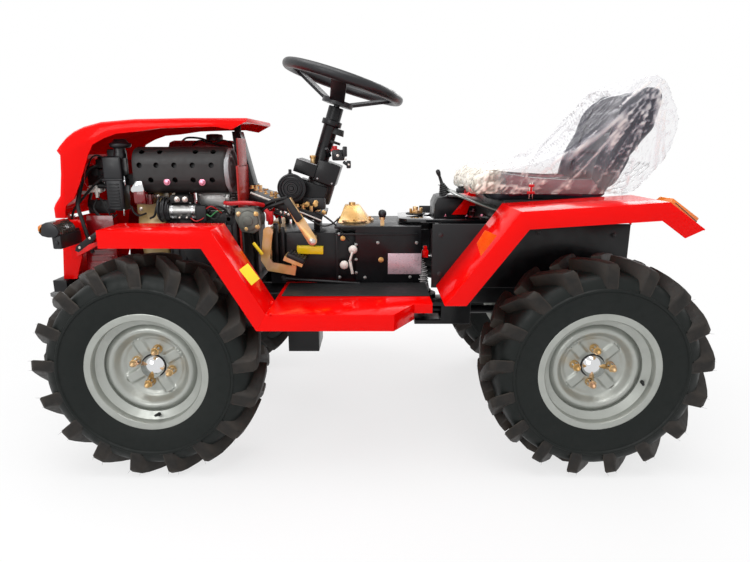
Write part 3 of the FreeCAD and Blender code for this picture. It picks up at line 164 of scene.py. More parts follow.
def blended(tree: Tree, share: Socket, one: object, two: object) -> Socket:
    """Blends two colours.

    Args:
        tree: The material's node tree.
        share: 0 for the first colour and 1 for the second.
        one: First colour, or its socket.
        two: Second colour, or its socket.

    Returns:
        The colour's socket.
    """
    return add_node(tree, "Mix", {0: share, 6: one, 7: two}, data_type="RGBA").outputs[2]


def per_metre(size_mm: float) -> float:
    """Scale of a noise pattern whose grain is that many millimetres across."""
    return 1000.0 / size_mm


@dataclass(frozen=True)
class Finish:
    """A surface: what it is made of, how it was made and how the light falls on it.

    Colours are sRGB hex values. The grain is its size in millimetres and its depth in metres.
    """

    name: str
    base: str
    worn: str
    slot: str
    metallic: float = 0.0
    roughness: float = 0.5
    rough_swing: float = 0.08
    coat: float = 0.0
    coat_roughness: float = 0.05
    sheen: float = 0.0
    specular: float = 0.5
    ior: float = 1.5
    patch_mm: float = 60.0
    patch_share: float = 0.35
    grain: tuple[float, float] = (1.5, 0.0001)
    edge: str = ""
    edge_share: float = 0.0

    def patches(self, tree: Tree, where: Socket) -> Socket:
        """Slow mottling between the base and the worn colour.

        Args:
            tree: The material's node tree.
            where: The position to read.

        Returns:
            The colour's socket.
        """
        cloud = add_node(tree, "TexNoise", {"Vector": where, "Scale": per_metre(self.patch_mm),
            "Detail": 5.0})
        level = ranged(tree, cloud.outputs["Fac"], 0.38, 0.72, 0.0, self.patch_share)
        return blended(tree, level, linear(self.base), linear(self.worn))

    def relief(self, tree: Tree, where: Socket) -> Socket:
        """Height of the fine grain left by casting, moulding or spraying.

        Args:
            tree: The material's node tree.
            where: The position to read.

        Returns:
            The height's socket.
        """
        grain = add_node(tree, "TexNoise", {"Vector": where, "Scale": per_metre(self.grain[0]),
            "Detail": 3.0})
        return grain.outputs["Fac"]

    def shade(self, tree: Tree, shader: bpy.types.Node, where: Socket) -> None:
        """Sets what only this kind of surface has; the plain finish has nothing more.

        Args:
            tree: The material's node tree.
            shader: Its main shader.
            where: The position to read.
        """

    def make(self) -> bpy.types.Material:
        """Builds the material once and returns it from then on.

        Returns:
            The material.
        """
        known = bpy.data.materials.get(self.name)
        if known:
            return known
        material = bpy.data.materials.new(self.name)
        material.use_nodes = True
        tree = material.node_tree
        shader = tree.nodes["Principled BSDF"]
        where = add_node(tree, "TexCoord").outputs["Object"]
        colour = self.patches(tree, where)
        if self.edge_share:
            ridge = add_node(tree, "NewGeometry").outputs["Pointiness"]
            colour = blended(tree, ranged(tree, ridge, 0.53, 0.6, 0.0, self.edge_share), colour,
                linear(self.edge))
        tree.links.new(colour, shader.inputs["Base Color"])
        smudge = add_node(tree, "TexNoise", {"Vector": where, "Scale": per_metre(self.patch_mm / 3),
            "Detail": 4.0})
        low, high = self.roughness - self.rough_swing, self.roughness + self.rough_swing
        tree.links.new(ranged(tree, smudge.outputs["Fac"], 0.3, 0.7, low, high), shader.inputs["Roughness"])
        bump = add_node(tree, "Bump", {"Height": self.relief(tree, where), "Distance": self.grain[1],
            "Strength": 1.0})
        tree.links.new(bump.outputs["Normal"], shader.inputs["Normal"])
        for name, value in (("Metallic", self.metallic), ("Coat Weight", self.coat),
                ("Coat Roughness", self.coat_roughness), ("Sheen Weight", self.sheen),
                ("Specular IOR Level", self.specular), ("IOR", self.ior)):
            shader.inputs[name].default_value = value
        self.shade(tree, shader, where)
        return material


@dataclass(frozen=True)
class Leathergrain(Finish):
    """Calendered vinyl: shallow pebbles between fine creases."""

    def relief(self, tree: Tree, where: Socket) -> Socket:
        """Height of the pebbles.

        Args:
            tree: The material's node tree.
            where: The position to read.

        Returns:
            The height's socket.
        """
        cells = add_node(tree, "TexVoronoi", {"Vector": where, "Scale": per_metre(self.grain[0])},
            feature="F1")
        return cells.outputs["Distance"]


@dataclass(frozen=True)
class Zinc(Finish):
    """Yellow-passivated zinc: gold with pink and green bloom."""

    def shade(self, tree: Tree, shader: bpy.types.Node, where: Socket) -> None:
        """Lays the bloom over the gold.

        Args:
            tree: The material's node tree.
            shader: Its main shader.
            where: The position to read.
        """
        cloud = add_node(tree, "TexNoise", {"Vector": where, "Scale": per_metre(42.0), "Detail": 1.0})
        ramp = add_node(tree, "ValToRGB", {"Fac": cloud.outputs["Fac"]})
        stops = ((0.3, "C79A5C"), (0.48, "D6AE72"), (0.6, "DCB98A"), (0.75, "D0A482"))
        for k, (place, colour) in enumerate(stops):
            stop = ramp.color_ramp.elements[k] if k < 2 else ramp.color_ramp.elements.new(place)
            stop.position = place
            stop.color = linear(colour)
        tree.links.new(ramp.outputs["Color"], shader.inputs["Base Color"])


@dataclass(frozen=True)
class Film(Finish):
    """Clear polyethylene film: mostly see-through, milky where it is seen edge on, with painted highlights
    on its fold crests.
    """

    def shade(self, tree: Tree, shader: bpy.types.Node, where: Socket) -> None:
        """Thins the film out where it faces the eye, and paints highlights on its fold crests.

        Args:
            tree: The material's node tree.
            shader: Its main shader.
            where: The position to read; not used.
        """
        facing = add_node(tree, "LayerWeight", {"Blend": 0.3}).outputs["Facing"]
        folds = add_node(tree, "Attribute", attribute_name="crease").outputs["Fac"]
        milk = add_node(tree, "Attribute", attribute_name="milk").outputs["Fac"]
        edge_on = ranged(tree, facing, 0.1, 1.0, 0.05, 0.13)
        # Painted highlight: the fold crests are made whiter and less see-through.
        crest = ranged(tree, folds, 0.15, 1.1, 0.0, 0.66)
        base = reckoned(tree, "ADD", edge_on, reckoned(tree, "MULTIPLY", milk, 0.3))
        tree.links.new(reckoned(tree, "ADD", base, crest, clamp=True), shader.inputs["Alpha"])
        warm = blended(tree, milk, linear("C6C1D2"), linear("E9DCC9"))
        tree.links.new(blended(tree, crest, warm, linear("FFFBF0")), shader.inputs["Base Color"])
        shader.inputs["Specular IOR Level"].default_value = 0.6


@dataclass(frozen=True)
class Lens(Finish):
    """Moulded acrylic: coloured, glossy, partly see-through, with a faint painted glow."""

    def shade(self, tree: Tree, shader: bpy.types.Node, where: Socket) -> None:
        """Lets some light through, and adds a faint painted glow in the lens's own colour.

        Args:
            tree: The material's node tree; not used.
            shader: Its main shader.
            where: The position to read; not used.
        """
        shader.inputs["Transmission Weight"].default_value = 0.35
        # Painted glow: the unlit lens gives off a little light of its own colour.
        shader.inputs["Emission Color"].default_value = linear(self.base)
        shader.inputs["Emission Strength"].default_value = 0.12


# Sprayed enamel on pressed sheet: one deep red, smooth and a little glossy.
RED = Finish("red_enamel", "F20402", "E80406", "red_paint", roughness=0.16, rough_swing=0.03, coat=0.08,
    coat_roughness=0.03, specular=0.08, patch_mm=220.0, grain=(6.0, 0.000004))
# Powder coat on welded plate: satin black with a faint orange peel.
BLACK = Finish("black_powder_coat", "0B0B0E", "121316", "black_paint", roughness=0.36, coat=0.1,
    specular=0.28, coat_roughness=0.15, grain=(1.8, 0.00004))
GREY = Finish("grey_green_enamel", "585F5A", "4A504D", "grey_paint", roughness=0.38, coat=0.3,
    grain=(2.0, 0.00004))
# Silver wheel enamel: aluminium flake in lacquer, so it is half metal and smooth.
SILVER = Finish("silver_wheel_enamel", "A9ACA6", "8E918B", "rim_silver", metallic=0.55, roughness=0.4,
    coat=0.15, patch_mm=50.0, grain=(3.0, 0.000008))
STEEL = Finish("bright_turned_steel", "C2C3C5", "A9A8A6", "steel", metallic=1.0, roughness=0.22,
    patch_mm=40.0, grain=(2.5, 0.00001))
CHROME = Finish("chromed_steel", "D8D9DA", "C9CACB", "hub_steel", metallic=1.0, roughness=0.08,
    rough_swing=0.02, patch_mm=60.0, grain=(20.0, 0.000002))
# Lug rubber fresh from the mould: charcoal with a brown bloom, dull, a fine texture.
RUBBER = Finish("moulded_tyre_rubber", "0B110F", "151815", "tyre_rubber", roughness=0.5, rough_swing=0.1,
    specular=0.25, patch_mm=60.0, grain=(2.0, 0.00008))
# The same rubber where the mould was dusted, so the bars and shoulders look browner and duller.
DUSTED = Finish("dusted_tyre_rubber", "1A1816", "2E2823", "tyre_rubber", roughness=0.55, specular=0.3,
    patch_mm=35.0, patch_share=0.7, grain=(2.0, 0.00012), edge="4A4138", edge_share=0.6)
SOFT_BLACK = Finish("black_rubber", "141516", "1D1E1F", "rubber_mat", roughness=0.55, grain=(1.2, 0.00008),
    ior=1.45)
ZINC = Zinc("yellow_zinc_plate", "D9A860", "C58F4C", "brass_zinc", metallic=0.7, roughness=0.34,
    grain=(3.0, 0.00001))
WHITE_ZINC = Finish("bright_zinc_plate", "CFC6BE", "B5ABA4", "steel", metallic=1.0, roughness=0.3,
    patch_mm=12.0, grain=(0.7, 0.00002))
# Die-cast aluminium: pale, dull metal with the skin of the mould.
CAST = Finish("die_cast_aluminium", "BCBCBA", "98989A", "engine_alu", metallic=0.9, roughness=0.42,
    patch_mm=30.0, grain=(1.1, 0.00012))
TAN = Finish("tan_enamel", "B39763", "9E8150", "shroud_tan", metallic=0.15, roughness=0.4, coat=0.2,
    patch_mm=70.0, grain=(2.4, 0.00004))
# High-temperature stove paint: dull black, mottled with a faint red tint that is a painted reflection of the
# red parts round it.
HEAT = Finish("stove_black", "1E1D1D", "292625", "heat_black", roughness=0.5, patch_mm=50.0,
    grain=(0.9, 0.00006))
TANK = Finish("dark_red_enamel", "7E0C14", "5F0A10", "tank_red", roughness=0.25, coat=0.6,
    grain=(3.0, 0.00002))
PLASTIC = Finish("moulded_black_plastic", "17181B", "202125", "black_plastic", roughness=0.38,
    grain=(0.8, 0.00005), ior=1.46)
AMBER = Lens("amber_acrylic", "F28A10", "E07408", "amber_lens", roughness=0.16, coat=0.6,
    grain=(6.0, 0.00002), ior=1.49)
SMOKED = Lens("smoked_acrylic", "3C3833", "2C2A27", "black_plastic", roughness=0.12, coat=0.8,
    grain=(6.0, 0.00002), ior=1.49)
BRUSHED = Finish("brushed_steel", "9A9A98", "7E7E7C", "steel", metallic=0.95, roughness=0.34, patch_mm=25.0,
    grain=(1.0, 0.00003))
ROSE_ZINC = Finish("pink_zinc_plate", "D2869A", "B9707E", "brass_zinc", metallic=1.0, roughness=0.28,
    patch_mm=10.0, grain=(1.0, 0.00003))
IRON = Finish("black_painted_casting", "1B1B1D", "262527", "engine_alu", roughness=0.45, patch_mm=30.0,
    grain=(1.4, 0.0002))
BARE_IRON = Finish("bare_grey_casting", "6B6C66", "54554F", "engine_alu", metallic=0.5, roughness=0.46,
    patch_mm=20.0, grain=(1.4, 0.0002))
# Red enamel darkened with painted shade, for red sheet that lies in shadow: the firewall, the nose's far
# inner side and the sheet above the firewall.
RED_IN_PAINTED_SHADE = Finish("shaded_red_enamel", "A81A12", "8A1610", "red_paint", roughness=0.3, specular=0.2,
    grain=(3.0, 0.00003))
ORANGE = Finish("orange_reflector", "F84A00", "FF7A08", "red_paint", roughness=0.3, specular=0.15,
    patch_mm=22.0, grain=(3.0, 0.00008))
CLEAR_GREY = Finish("clear_corrugated_pvc", "A9A6A6", "8C8A8C", "black_plastic", roughness=0.2, coat=0.4,
    grain=(3.0, 0.0002))
HEAT_SILVER = Finish("silver_heat_paint", "A2A4A6", "8C8E90", "engine_alu", metallic=0.2, roughness=0.4,
    patch_mm=40.0, grain=(1.5, 0.00006))
GLOSS_BLACK = Finish("gloss_black_enamel", "131417", "1C1D20", "black_paint", roughness=0.14, coat=1.0,
    patch_mm=80.0, grain=(3.0, 0.00003))
VINYL = Leathergrain("black_vinyl", "171A26", "20222E", "seat_vinyl", roughness=0.42, sheen=0.1, coat=0.15,
    coat_roughness=0.3, grain=(2.2, 0.00012))
RED_VINYL = Leathergrain("dark_red_vinyl", "5E0F24", "48101F", "seat_vinyl", roughness=0.4, coat=0.15,
    coat_roughness=0.3, grain=(2.2, 0.00012))
FILM = Film("clear_film", "F2EEF4", "FAF6EC", "seat_vinyl", roughness=0.14, rough_swing=0.04, coat=0.1,
    patch_mm=80.0, patch_share=1.0, grain=(6.0, 0.0001))
YELLOW = Finish("yellow_label", "F7D90A", "EFC906", "red_paint", roughness=0.35, coat=0.4,
    grain=(4.0, 0.00001))
PALE = Finish("white_nylon", "E6E1DA", "CFCAC2", "black_plastic", roughness=0.4, grain=(2.0, 0.00004))
LABEL = Finish("silver_pink_label", "C9AEB6", "B99AA6", "black_paint", metallic=0.35, roughness=0.3,
    patch_mm=30.0, grain=(1.0, 0.00001))
WIRE_RED = Finish("red_pvc", "C4141C", "A50F16", "black_plastic", roughness=0.32, grain=(2.0, 0.00002))
WIRE_GREEN = Finish("green_pvc", "2F8F4A", "226B38", "black_plastic", roughness=0.32, grain=(2.0, 0.00002))

# The firewall takes the red darkened with painted shade.
NODE_FINISHES: dict[str, Finish] = {"front_fender": RED, "footboard": RED, "rear_fender": RED, "hood": RED,
    "front_panel": RED, "firewall": RED_IN_PAINTED_SHADE, "front_chassis": BLACK, "bumper": BLACK,
    "rear_chassis": BLACK, "pivot_plate": GLOSS_BLACK, "gearbox": BLACK, "gear_case": BLACK,
    "rear_cover": BLACK, "console": BLACK, "drawbar": BLACK, "column_plate": BLACK,
    "steering_column": BLACK, "axle": BLACK, "seat_base": BLACK, "switch_box": BLACK, "horn": BLACK,
    "steering_ram": BLACK, "hood_post": BLACK, "slope_plate": GREY, "ram_rod": STEEL, "rim": SILVER,
    "hub": CHROME, "tyre": RUBBER, "gear_dome": ZINC, "range_knob": ZINC, "pedals": ZINC,
    "hand_lever": ZINC, "foot_mats": SOFT_BLACK, "gear_stick": SOFT_BLACK, "engine": CAST,
    "starter_motor": STEEL, "fan_shroud": TAN, "muffler": HEAT, "air_cleaner": PLASTIC, "fuel_tank": TANK,
    "front_lamps": PLASTIC, "steering_wheel": PLASTIC, "rear_lamps": AMBER, "seat_cushion": VINYL,
    "seat_back": VINYL}


# Forms


def block(low: Point, high: Point, round_mm: float = 1.5) -> Form:
    """Box between two corners, its edges rounded.

    Args:
        low: Lowest corner.
        high: Highest corner.
        round_mm: Width of the rounding, or 0 for none.

    Returns:
        The form.
    """
    made = bmesh.new()
    size = Vector(high) - Vector(low)
    bmesh.ops.create_cube(made, size=1.0)
    bmesh.ops.scale(made, vec=size, verts=made.verts)
    bmesh.ops.translate(made, vec=(Vector(high) + Vector(low)) / 2, verts=made.verts)
    if round_mm:
        soften(made, min(round_mm, min(size) * 0.45))
    return made


def soften(made: Form, width: float, segments: int = 2, above: float = 35.0) -> None:
    """Rounds every edge that turns by more than a few degrees.

    Args:
        made: The form.
        width: Width of the rounding.
        segments: Flats across the rounding.
        above: Angle between two faces, in degrees, from which an edge is rounded.
    """
    limit = math.radians(above)
    edges = [e for e in made.edges if len(e.link_faces) == 2 and e.calc_face_angle(0.0) > limit]
    bmesh.ops.bevel(made, geom=edges, offset=width, offset_type="OFFSET", segments=segments, profile=0.5,
        affect="EDGES", clamp_overlap=True, material=-1, loop_slide=True)


def rod(start: Point, end: Point, radius: float, end_radius: float | None = None, sides: int = 20,
        round_mm: float = 0.6) -> Form:
    """Round or faceted bar between two points.

    Args:
        start: Centre of the first end.
        end: Centre of the second end.
        radius: Radius at the start.
        end_radius: Radius at the end, or None for the same.
        sides: Flats round it.
        round_mm: Rounding of the end edges.

    Returns:
        The form.
    """
    made = bmesh.new()
    run = Vector(end) - Vector(start)
    last = radius if end_radius is None else end_radius
    bmesh.ops.create_cone(made, cap_ends=True, segments=sides, radius1=radius, radius2=last,
        depth=run.length)
    if round_mm:
        rims = [e for e in made.edges if abs(e.verts[0].co.z - e.verts[1].co.z) < 1e-6]
        bmesh.ops.bevel(made, geom=rims, offset=min(round_mm, run.length * 0.4, last * 0.4), segments=2,
            profile=0.5, affect="EDGES", clamp_overlap=True, material=-1)
    turn = Vector((0, 0, 1)).rotation_difference(run.normalized()).to_matrix().to_4x4()
    bmesh.ops.transform(made, matrix=Matrix.Translation((Vector(start) + Vector(end)) / 2) @ turn,
        verts=made.verts)
    return made


def pin(x: float, z: float, start: float, end: float, radius: float, end_radius: float | None = None,
        sides: int = 20, round_mm: float = 0.6) -> Form:
    """Bar straight across the tractor.

    Args:
        x: Its place from rear to front.
        z: Its height.
        start: Place of its first end along y.
        end: Place of its second end along y.
        radius: Radius at the start.
        end_radius: Radius at the end, or None for the same.
        sides: Flats round it.
        round_mm: Rounding of the end edges.

    Returns:
        The form.
    """
    return rod((x, start, z), (x, end, z), radius, end_radius, sides, round_mm)


def spun(profile: Outline, centre: Point, axis: Point = (0, 1, 0), steps: int = 64) -> Form:
    """Profile turned right round an axis.

    Args:
        profile: (distance along the axis, radius) points; closed if the last meets the first.
        centre: A point on the axis, where distance is 0.
        axis: The axis.
        steps: Flats in the full turn.

    Returns:
        The form, with its poles closed.
    """
    made = bmesh.new()
    along = Vector(axis).normalized()
    out = along.orthogonal().normalized()
    verts = [made.verts.new(Vector(centre) + along * a + out * r) for a, r in profile]
    edges = [made.edges.new(pair) for pair in zip(verts, verts[1:])]
    bmesh.ops.spin(made, geom=verts + edges, cent=centre, axis=along, angle=math.tau, steps=steps,
        use_merge=True)
    bmesh.ops.remove_doubles(made, verts=made.verts, dist=0.005)
    bmesh.ops.recalc_face_normals(made, faces=made.faces)
    return made


def plate(outline: Outline, low: float, high: float, round_mm: float = 0.8) -> Form:
    """Flat upright shape given a thickness across the tractor.

    Args:
        outline: Points (x, z) in the side view.
        low: Place of its first face along y.
        high: Place of its second face along y.
        round_mm: Rounding of the edges.

    Returns:
        The form.
    """
    made = bmesh.new()
    face = made.faces.new([made.verts.new((x, low, z)) for x, z in outline])
    grown = bmesh.ops.extrude_face_region(made, geom=[face], use_keep_orig=True)
    bmesh.ops.translate(made, vec=(0, high - low, 0), verts=[v for v in grown["geom"]
        if isinstance(v, bmesh.types.BMVert)])
    bmesh.ops.recalc_face_normals(made, faces=made.faces)
    if round_mm:
        soften(made, min(round_mm, abs(high - low) * 0.4))
    return made


def swept(section: Outline, stations: Sequence[Matrix]) -> Form:
    """Closed section carried along a run of stations, which may turn and scale it.

    Args:
        section: Points in the section's own XY plane.
        stations: Where the section lies at each step.

    Returns:
        The form, closed at both ends.
    """
    made = bmesh.new()
    flat = [Vector((a, b, 0)) for a, b in section]
    face = made.faces.new([made.verts.new(stations[0] @ p) for p in flat])
    for here in stations[1:]:
        grown = bmesh.ops.extrude_discrete_faces(made, faces=[face])
        face = grown["faces"][0]
        for vert, p in zip(face.verts, flat):
            vert.co = here @ p
    made.faces.new([made.verts.new(stations[0] @ p) for p in flat])
    bmesh.ops.remove_doubles(made, verts=made.verts, dist=0.001)
    bmesh.ops.recalc_face_normals(made, faces=made.faces)
    return made


def smooth_run(points: Sequence[Point], per_span: int = 6) -> list[Vector]:
    """Even curve through the given points.

    Args:
        points: What the curve passes through.
        per_span: Steps from one point to the next.

    Returns:
        Points along the curve.
    """
    ends = [Vector(p) for p in points]
    ends = [ends[0] * 2 - ends[1], *ends, ends[-1] * 2 - ends[-2]]
    run = []
    for a, b, c, d in zip(ends, ends[1:], ends[2:], ends[3:]):
        for k in range(per_span):
            t = k / per_span
            run.append(0.5 * (2 * b + (c - a) * t + (2 * a - 5 * b + 4 * c - d) * t * t
                + (3 * b - a - 3 * c + d) * t ** 3))
    run.append(ends[-2])
    return run


def hose(points: Sequence[Point], radius: float, sides: int = 10, per_span: int = 6) -> Form:
    """Round hose, wire or bent rod along an even curve.

    Args:
        points: What its centre line passes through.
        radius: Its radius.
        sides: Flats round it.
        per_span: Steps from one point to the next.

    Returns:
        The form.
    """
    run = smooth_run(points, per_span)
    section = [(radius * math.cos(math.tau * k / sides), radius * math.sin(math.tau * k / sides))
        for k in range(sides)]
    stations = []
    ahead = (run[1] - run[0]).normalized()
    frame_of = Vector((0, 0, 1)).rotation_difference(ahead)
    for k, here in enumerate(run):
        after = (run[min(k + 1, len(run) - 1)] - run[max(k - 1, 0)]).normalized()
        frame_of = ahead.rotation_difference(after) @ frame_of
        ahead = after
        stations.append(Matrix.Translation(here) @ frame_of.to_matrix().to_4x4())
    return swept(section, stations)


def bolt(place: Point, across: float, height: float, axis: Point = (0, 1, 0), washer: bool = True,
        domed: bool = False) -> Form:
    """Hexagon bolt head, with its washer.

    Args:
        place: Where the washer lies on the surface.
        across: Width over the corners.
        height: Height of the head.
        axis: The way that the head points.
        washer: Whether it has a washer.
        domed: Whether the head ends in a dome, as a cap nut does.

    Returns:
        The form.
    """
    up = Vector(axis).normalized()
    at = Vector(place)
    thick = across * 0.13 if washer else 0.0
    parts = [rod(at + up * (thick - 0.4), at + up * (thick + height), across / 2, sides=6, round_mm=0.9)]
    if washer:
        parts.append(rod(at - up * 0.2, at + up * thick, across * 0.66, sides=20, round_mm=0.4))
    if domed:
        radius = across * 0.4
        dome = [(0.0, radius), (radius * 0.9, radius * 0.95), (radius * 1.5, radius * 0.62),
            (radius * 1.75, 0.0)]
        parts.append(spun(dome, at + up * (thick + height - 0.3), up, 16))
    return gathered(parts)


def meshed(name: str, made: Form) -> bpy.types.Mesh:
    """Mesh of a form, which is freed.

    Args:
        name: The mesh's name.
        made: The form.

    Returns:
        The mesh.
    """
    mesh = bpy.data.meshes.new(name)
    made.to_mesh(mesh)
    made.free()
    return mesh


def linked(name: str, data: bpy.types.ID) -> bpy.types.Object:
    """New object in the scene.

    Args:
        name: The object's name.
        data: Its mesh, lamp or camera.

    Returns:
        The object.
    """
    placed = bpy.data.objects.new(name, data)
    bpy.context.scene.collection.objects.link(placed)
    return placed


def form_of(mesh: bpy.types.Mesh) -> Form:
    """Form in millimetres from a mesh in metres.

    Args:
        mesh: The mesh, which stays as it is.

    Returns:
        The form.
    """
    made = bmesh.new()
    made.from_mesh(mesh)
    bmesh.ops.scale(made, vec=(1 / MM, 1 / MM, 1 / MM), verts=made.verts)
    return made


def relaxed(made: Form, rounds: int) -> None:
    """Smooths a form's small unevenness away.

    Args:
        made: The form.
        rounds: How many times it is smoothed.
    """
    for _ in range(rounds):
        bmesh.ops.smooth_vert(made, verts=made.verts, factor=0.5, use_axis_x=True, use_axis_y=True,
            use_axis_z=True)


def gathered(forms: Form | Iterable[Form]) -> Form:
    """Puts several forms into one, and frees them.

    Args:
        forms: The forms; one form by itself is given back as it is.

    Returns:
        The whole.
    """
    if isinstance(forms, Form):
        return forms
    whole = bmesh.new()
    for made in forms:
        mesh = meshed("part", made)
        whole.from_mesh(mesh)
        bpy.data.meshes.remove(mesh)
    return whole


def moved(made: Form, matrix: Matrix) -> Form:
    """Copy of a form, moved; faces keep pointing outwards even if the matrix mirrors it.

    Args:
        made: The form, which isn't freed.
        matrix: Where it goes.

    Returns:
        The copy.
    """
    twin = made.copy()
    bmesh.ops.transform(twin, matrix=matrix, verts=twin.verts)
    if matrix.to_3x3().determinant() < 0:
        bmesh.ops.reverse_faces(twin, faces=twin.faces)
    return twin


ACROSS = Matrix.Scale(-1, 4, (0, 1, 0))


def both_sides(forms: Form | Iterable[Form]) -> Form:
    """Forms and their mirror image across the centre plane.

    Args:
        forms: One form or several, which are freed.

    Returns:
        The whole.
    """
    made = gathered(forms)
    return gathered([moved(made, ACROSS), made])


def turned_about(centre: Point, axis: Point, degrees: float) -> Matrix:
    """Turn about a line.

    Args:
        centre: A point on the line.
        axis: The line's direction.
        degrees: How far it turns.

    Returns:
        The turn.
    """
    at = Matrix.Translation(Vector(centre))
    return at @ Matrix.Rotation(math.radians(degrees), 4, Vector(axis)) @ at.inverted()


def add_piece(name: str, forms: Form | Iterable[Form], finish: Finish, body: str = "front_frame",
        replaces: Sequence[str] = (), sharp: float = 35.0, levels: int = 0) -> bpy.types.Object:
    """Turns forms in millimetres into a piece of the tractor.

    Args:
        name: The piece's name.
        forms: One form or several, which are freed.
        finish: Its surface.
        body: The moving body that carries it, or nothing for a piece that no body carries.
        replaces: CAD nodes that it stands for.
        sharp: Angle in degrees above which an edge stays sharp.
        levels: Levels of a subdivision surface.

    Returns:
        The new object.
    """
    made = gathered(forms)
    bmesh.ops.scale(made, vec=(MM, MM, MM), verts=made.verts)
    mesh = meshed(name, made)
    mesh.shade_smooth()
    mesh.set_sharp_from_angle(angle=math.radians(sharp))
    mesh.materials.append(finish.make())
    piece = linked(name, mesh)
    if levels:
        surface = piece.modifiers.new("surface", "SUBSURF")
        surface.levels = surface.render_levels = levels
    if body:
        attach(piece, body)
    if replaces:
        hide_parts(*replaces)
    LOG.info("%s: %d faces on %s", name, len(mesh.polygons), body)
    return piece


def node_form(node: str) -> Form:
    """A CAD node's shape in millimetres, its doubles merged and its flats joined.

    Args:
        node: The CAD node.

    Returns:
        The form.
    """
    made = form_of(frame["nodes"][node].data)
    bmesh.ops.remove_doubles(made, verts=made.verts, dist=0.01)
    bmesh.ops.dissolve_limit(made, angle_limit=math.radians(0.6), verts=made.verts, edges=made.edges,
        use_dissolve_boundaries=False)
    return made


def body_of(node: str) -> str:
    """Name of the body that a CAD node rides on."""
    return frame["nodes"][node]["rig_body"]


def round_over(node: str, width: float, finish: Finish, segments: int = 2) -> bpy.types.Object:
    """Stands a copy of a CAD node with rounded edges in its place.

    Args:
        node: The CAD node.
        width: Width of the rounding, in millimetres.
        finish: Its surface.
        segments: Flats across the rounding.

    Returns:
        The new piece.
    """
    made = node_form(node)
    soften(made, width, segments, above=30.0)
    return add_piece(node + "_rounded", made, finish, body_of(node), replaces=(node,))


def finish_of(node: str) -> Finish:
    """The finish whose name begins a CAD node's name."""
    return next(NODE_FINISHES[k] for k in sorted(NODE_FINISHES, key=len, reverse=True)
        if node.startswith(k))


# Studio


@dataclass
class Studio:
    """Pale floor, soft lights and the camera, level with the steering wheel on the tractor's left."""

    lens_mm: float = 25.97
    camera_at: Point = (-0.005, 1.811, 0.907)
    pitch_down: float = 14.0
    roll: float = 0.0
    floor_half: float = 14.0
    floor_glow: float = 0.72
    glow_reach: tuple[float, float] = (0.9, 2.2)
    room_light: float = 0.55
    lamps: tuple[tuple[str, Point, tuple[float, float], float], ...] = (
        ("lamp_over", (0.4, 0.6, 3.2), (3.2, 1.6), 62.0), ("lamp_near", (1.6, 3.0, 2.0), (1.6, 1.6), 34.0),
        ("lamp_far", (-1.4, -2.6, 2.2), (2.2, 1.4), 34.0))

    def build(self) -> None:
        """Makes the floor, the lights and the camera."""
        self.floor()
        self.lights()
        self.camera()

    def floor(self) -> None:
        """Pale floor that runs out of sight, white to the eye and plain to the light."""
        made = bmesh.new()
        bmesh.ops.create_grid(made, x_segments=1, y_segments=1, size=self.floor_half)
        floor = linked("floor", meshed("floor", made))
        material = bpy.data.materials.new("pale_floor")
        material.use_nodes = True
        tree = material.node_tree
        shader = tree.nodes["Principled BSDF"]
        shader.inputs["Base Color"].default_value = linear("F4F4F5")
        shader.inputs["Roughness"].default_value = 0.9
        rays = add_node(tree, "LightPath")
        seen = reckoned(tree, "MAXIMUM", rays.outputs["Is Camera Ray"], rays.outputs["Is Glossy Ray"])
        glow = add_node(tree, "Emission", {"Color": linear("FFFFFF"), "Strength": 1.0})
        where = add_node(tree, "TexCoord").outputs["Object"]
        away = add_node(tree, "VectorMath", {0: where}, operation="LENGTH")
        fade = ranged(tree, away.outputs["Value"], *self.glow_reach, self.floor_glow, 1.0)
        share = reckoned(tree, "MULTIPLY", seen, fade)
        mixed = add_node(tree, "MixShader", {0: share, 1: shader.outputs[0], 2: glow.outputs[0]})
        tree.links.new(mixed.outputs[0], tree.nodes["Material Output"].inputs["Surface"])
        floor.data.materials.append(material)

    def lights(self) -> None:
        """Even white surroundings, one broad lamp overhead and one on the near side."""
        world = bpy.data.worlds.new("white_room")
        bpy.context.scene.world = world
        world.use_nodes = True
        tree = world.node_tree
        rays = add_node(tree, "LightPath")
        mirrored = reckoned(tree, "MAXIMUM", rays.outputs["Is Glossy Ray"],
            rays.outputs["Is Transmission Ray"])
        seen = reckoned(tree, "MAXIMUM", rays.outputs["Is Camera Ray"], mirrored)
        ground = tree.nodes["Background"]
        ground.inputs["Color"].default_value = linear("FFFFFF")
        tree.links.new(ranged(tree, seen, 0.0, 1.0, self.room_light, 1.0), ground.inputs["Strength"])
        for name, at, size, power in self.lamps:
            lamp = bpy.data.lights.new(name, "AREA")
            lamp.shape = "RECTANGLE"
            lamp.size, lamp.size_y = size
            lamp.energy = power
            placed = linked(name, lamp)
            placed.location = at
            placed.rotation_euler = (Vector((0, 0, 0.5)) - Vector(at)).to_track_quat("-Z", "Y").to_euler()

    def camera(self) -> None:
        """Wide lens close to the tractor's left side."""
        data = bpy.data.cameras.new("camera")
        data.sensor_width = 36.0
        data.lens = self.lens_mm
        camera = linked("camera", data)
        camera.location = self.camera_at
        camera.rotation_euler = (math.radians(90.0 - self.pitch_down), math.radians(self.roll),
            math.radians(180.0))
        bpy.context.scene.camera = camera
        bpy.context.scene.view_settings.view_transform = "Standard"


# Wheels


class End(Enum):
    """The tractor's two ends."""

    FRONT = "front"
    REAR = "rear"


class Side(Enum):
    """The tractor's two sides."""

    LEFT = "left"
    RIGHT = "right"


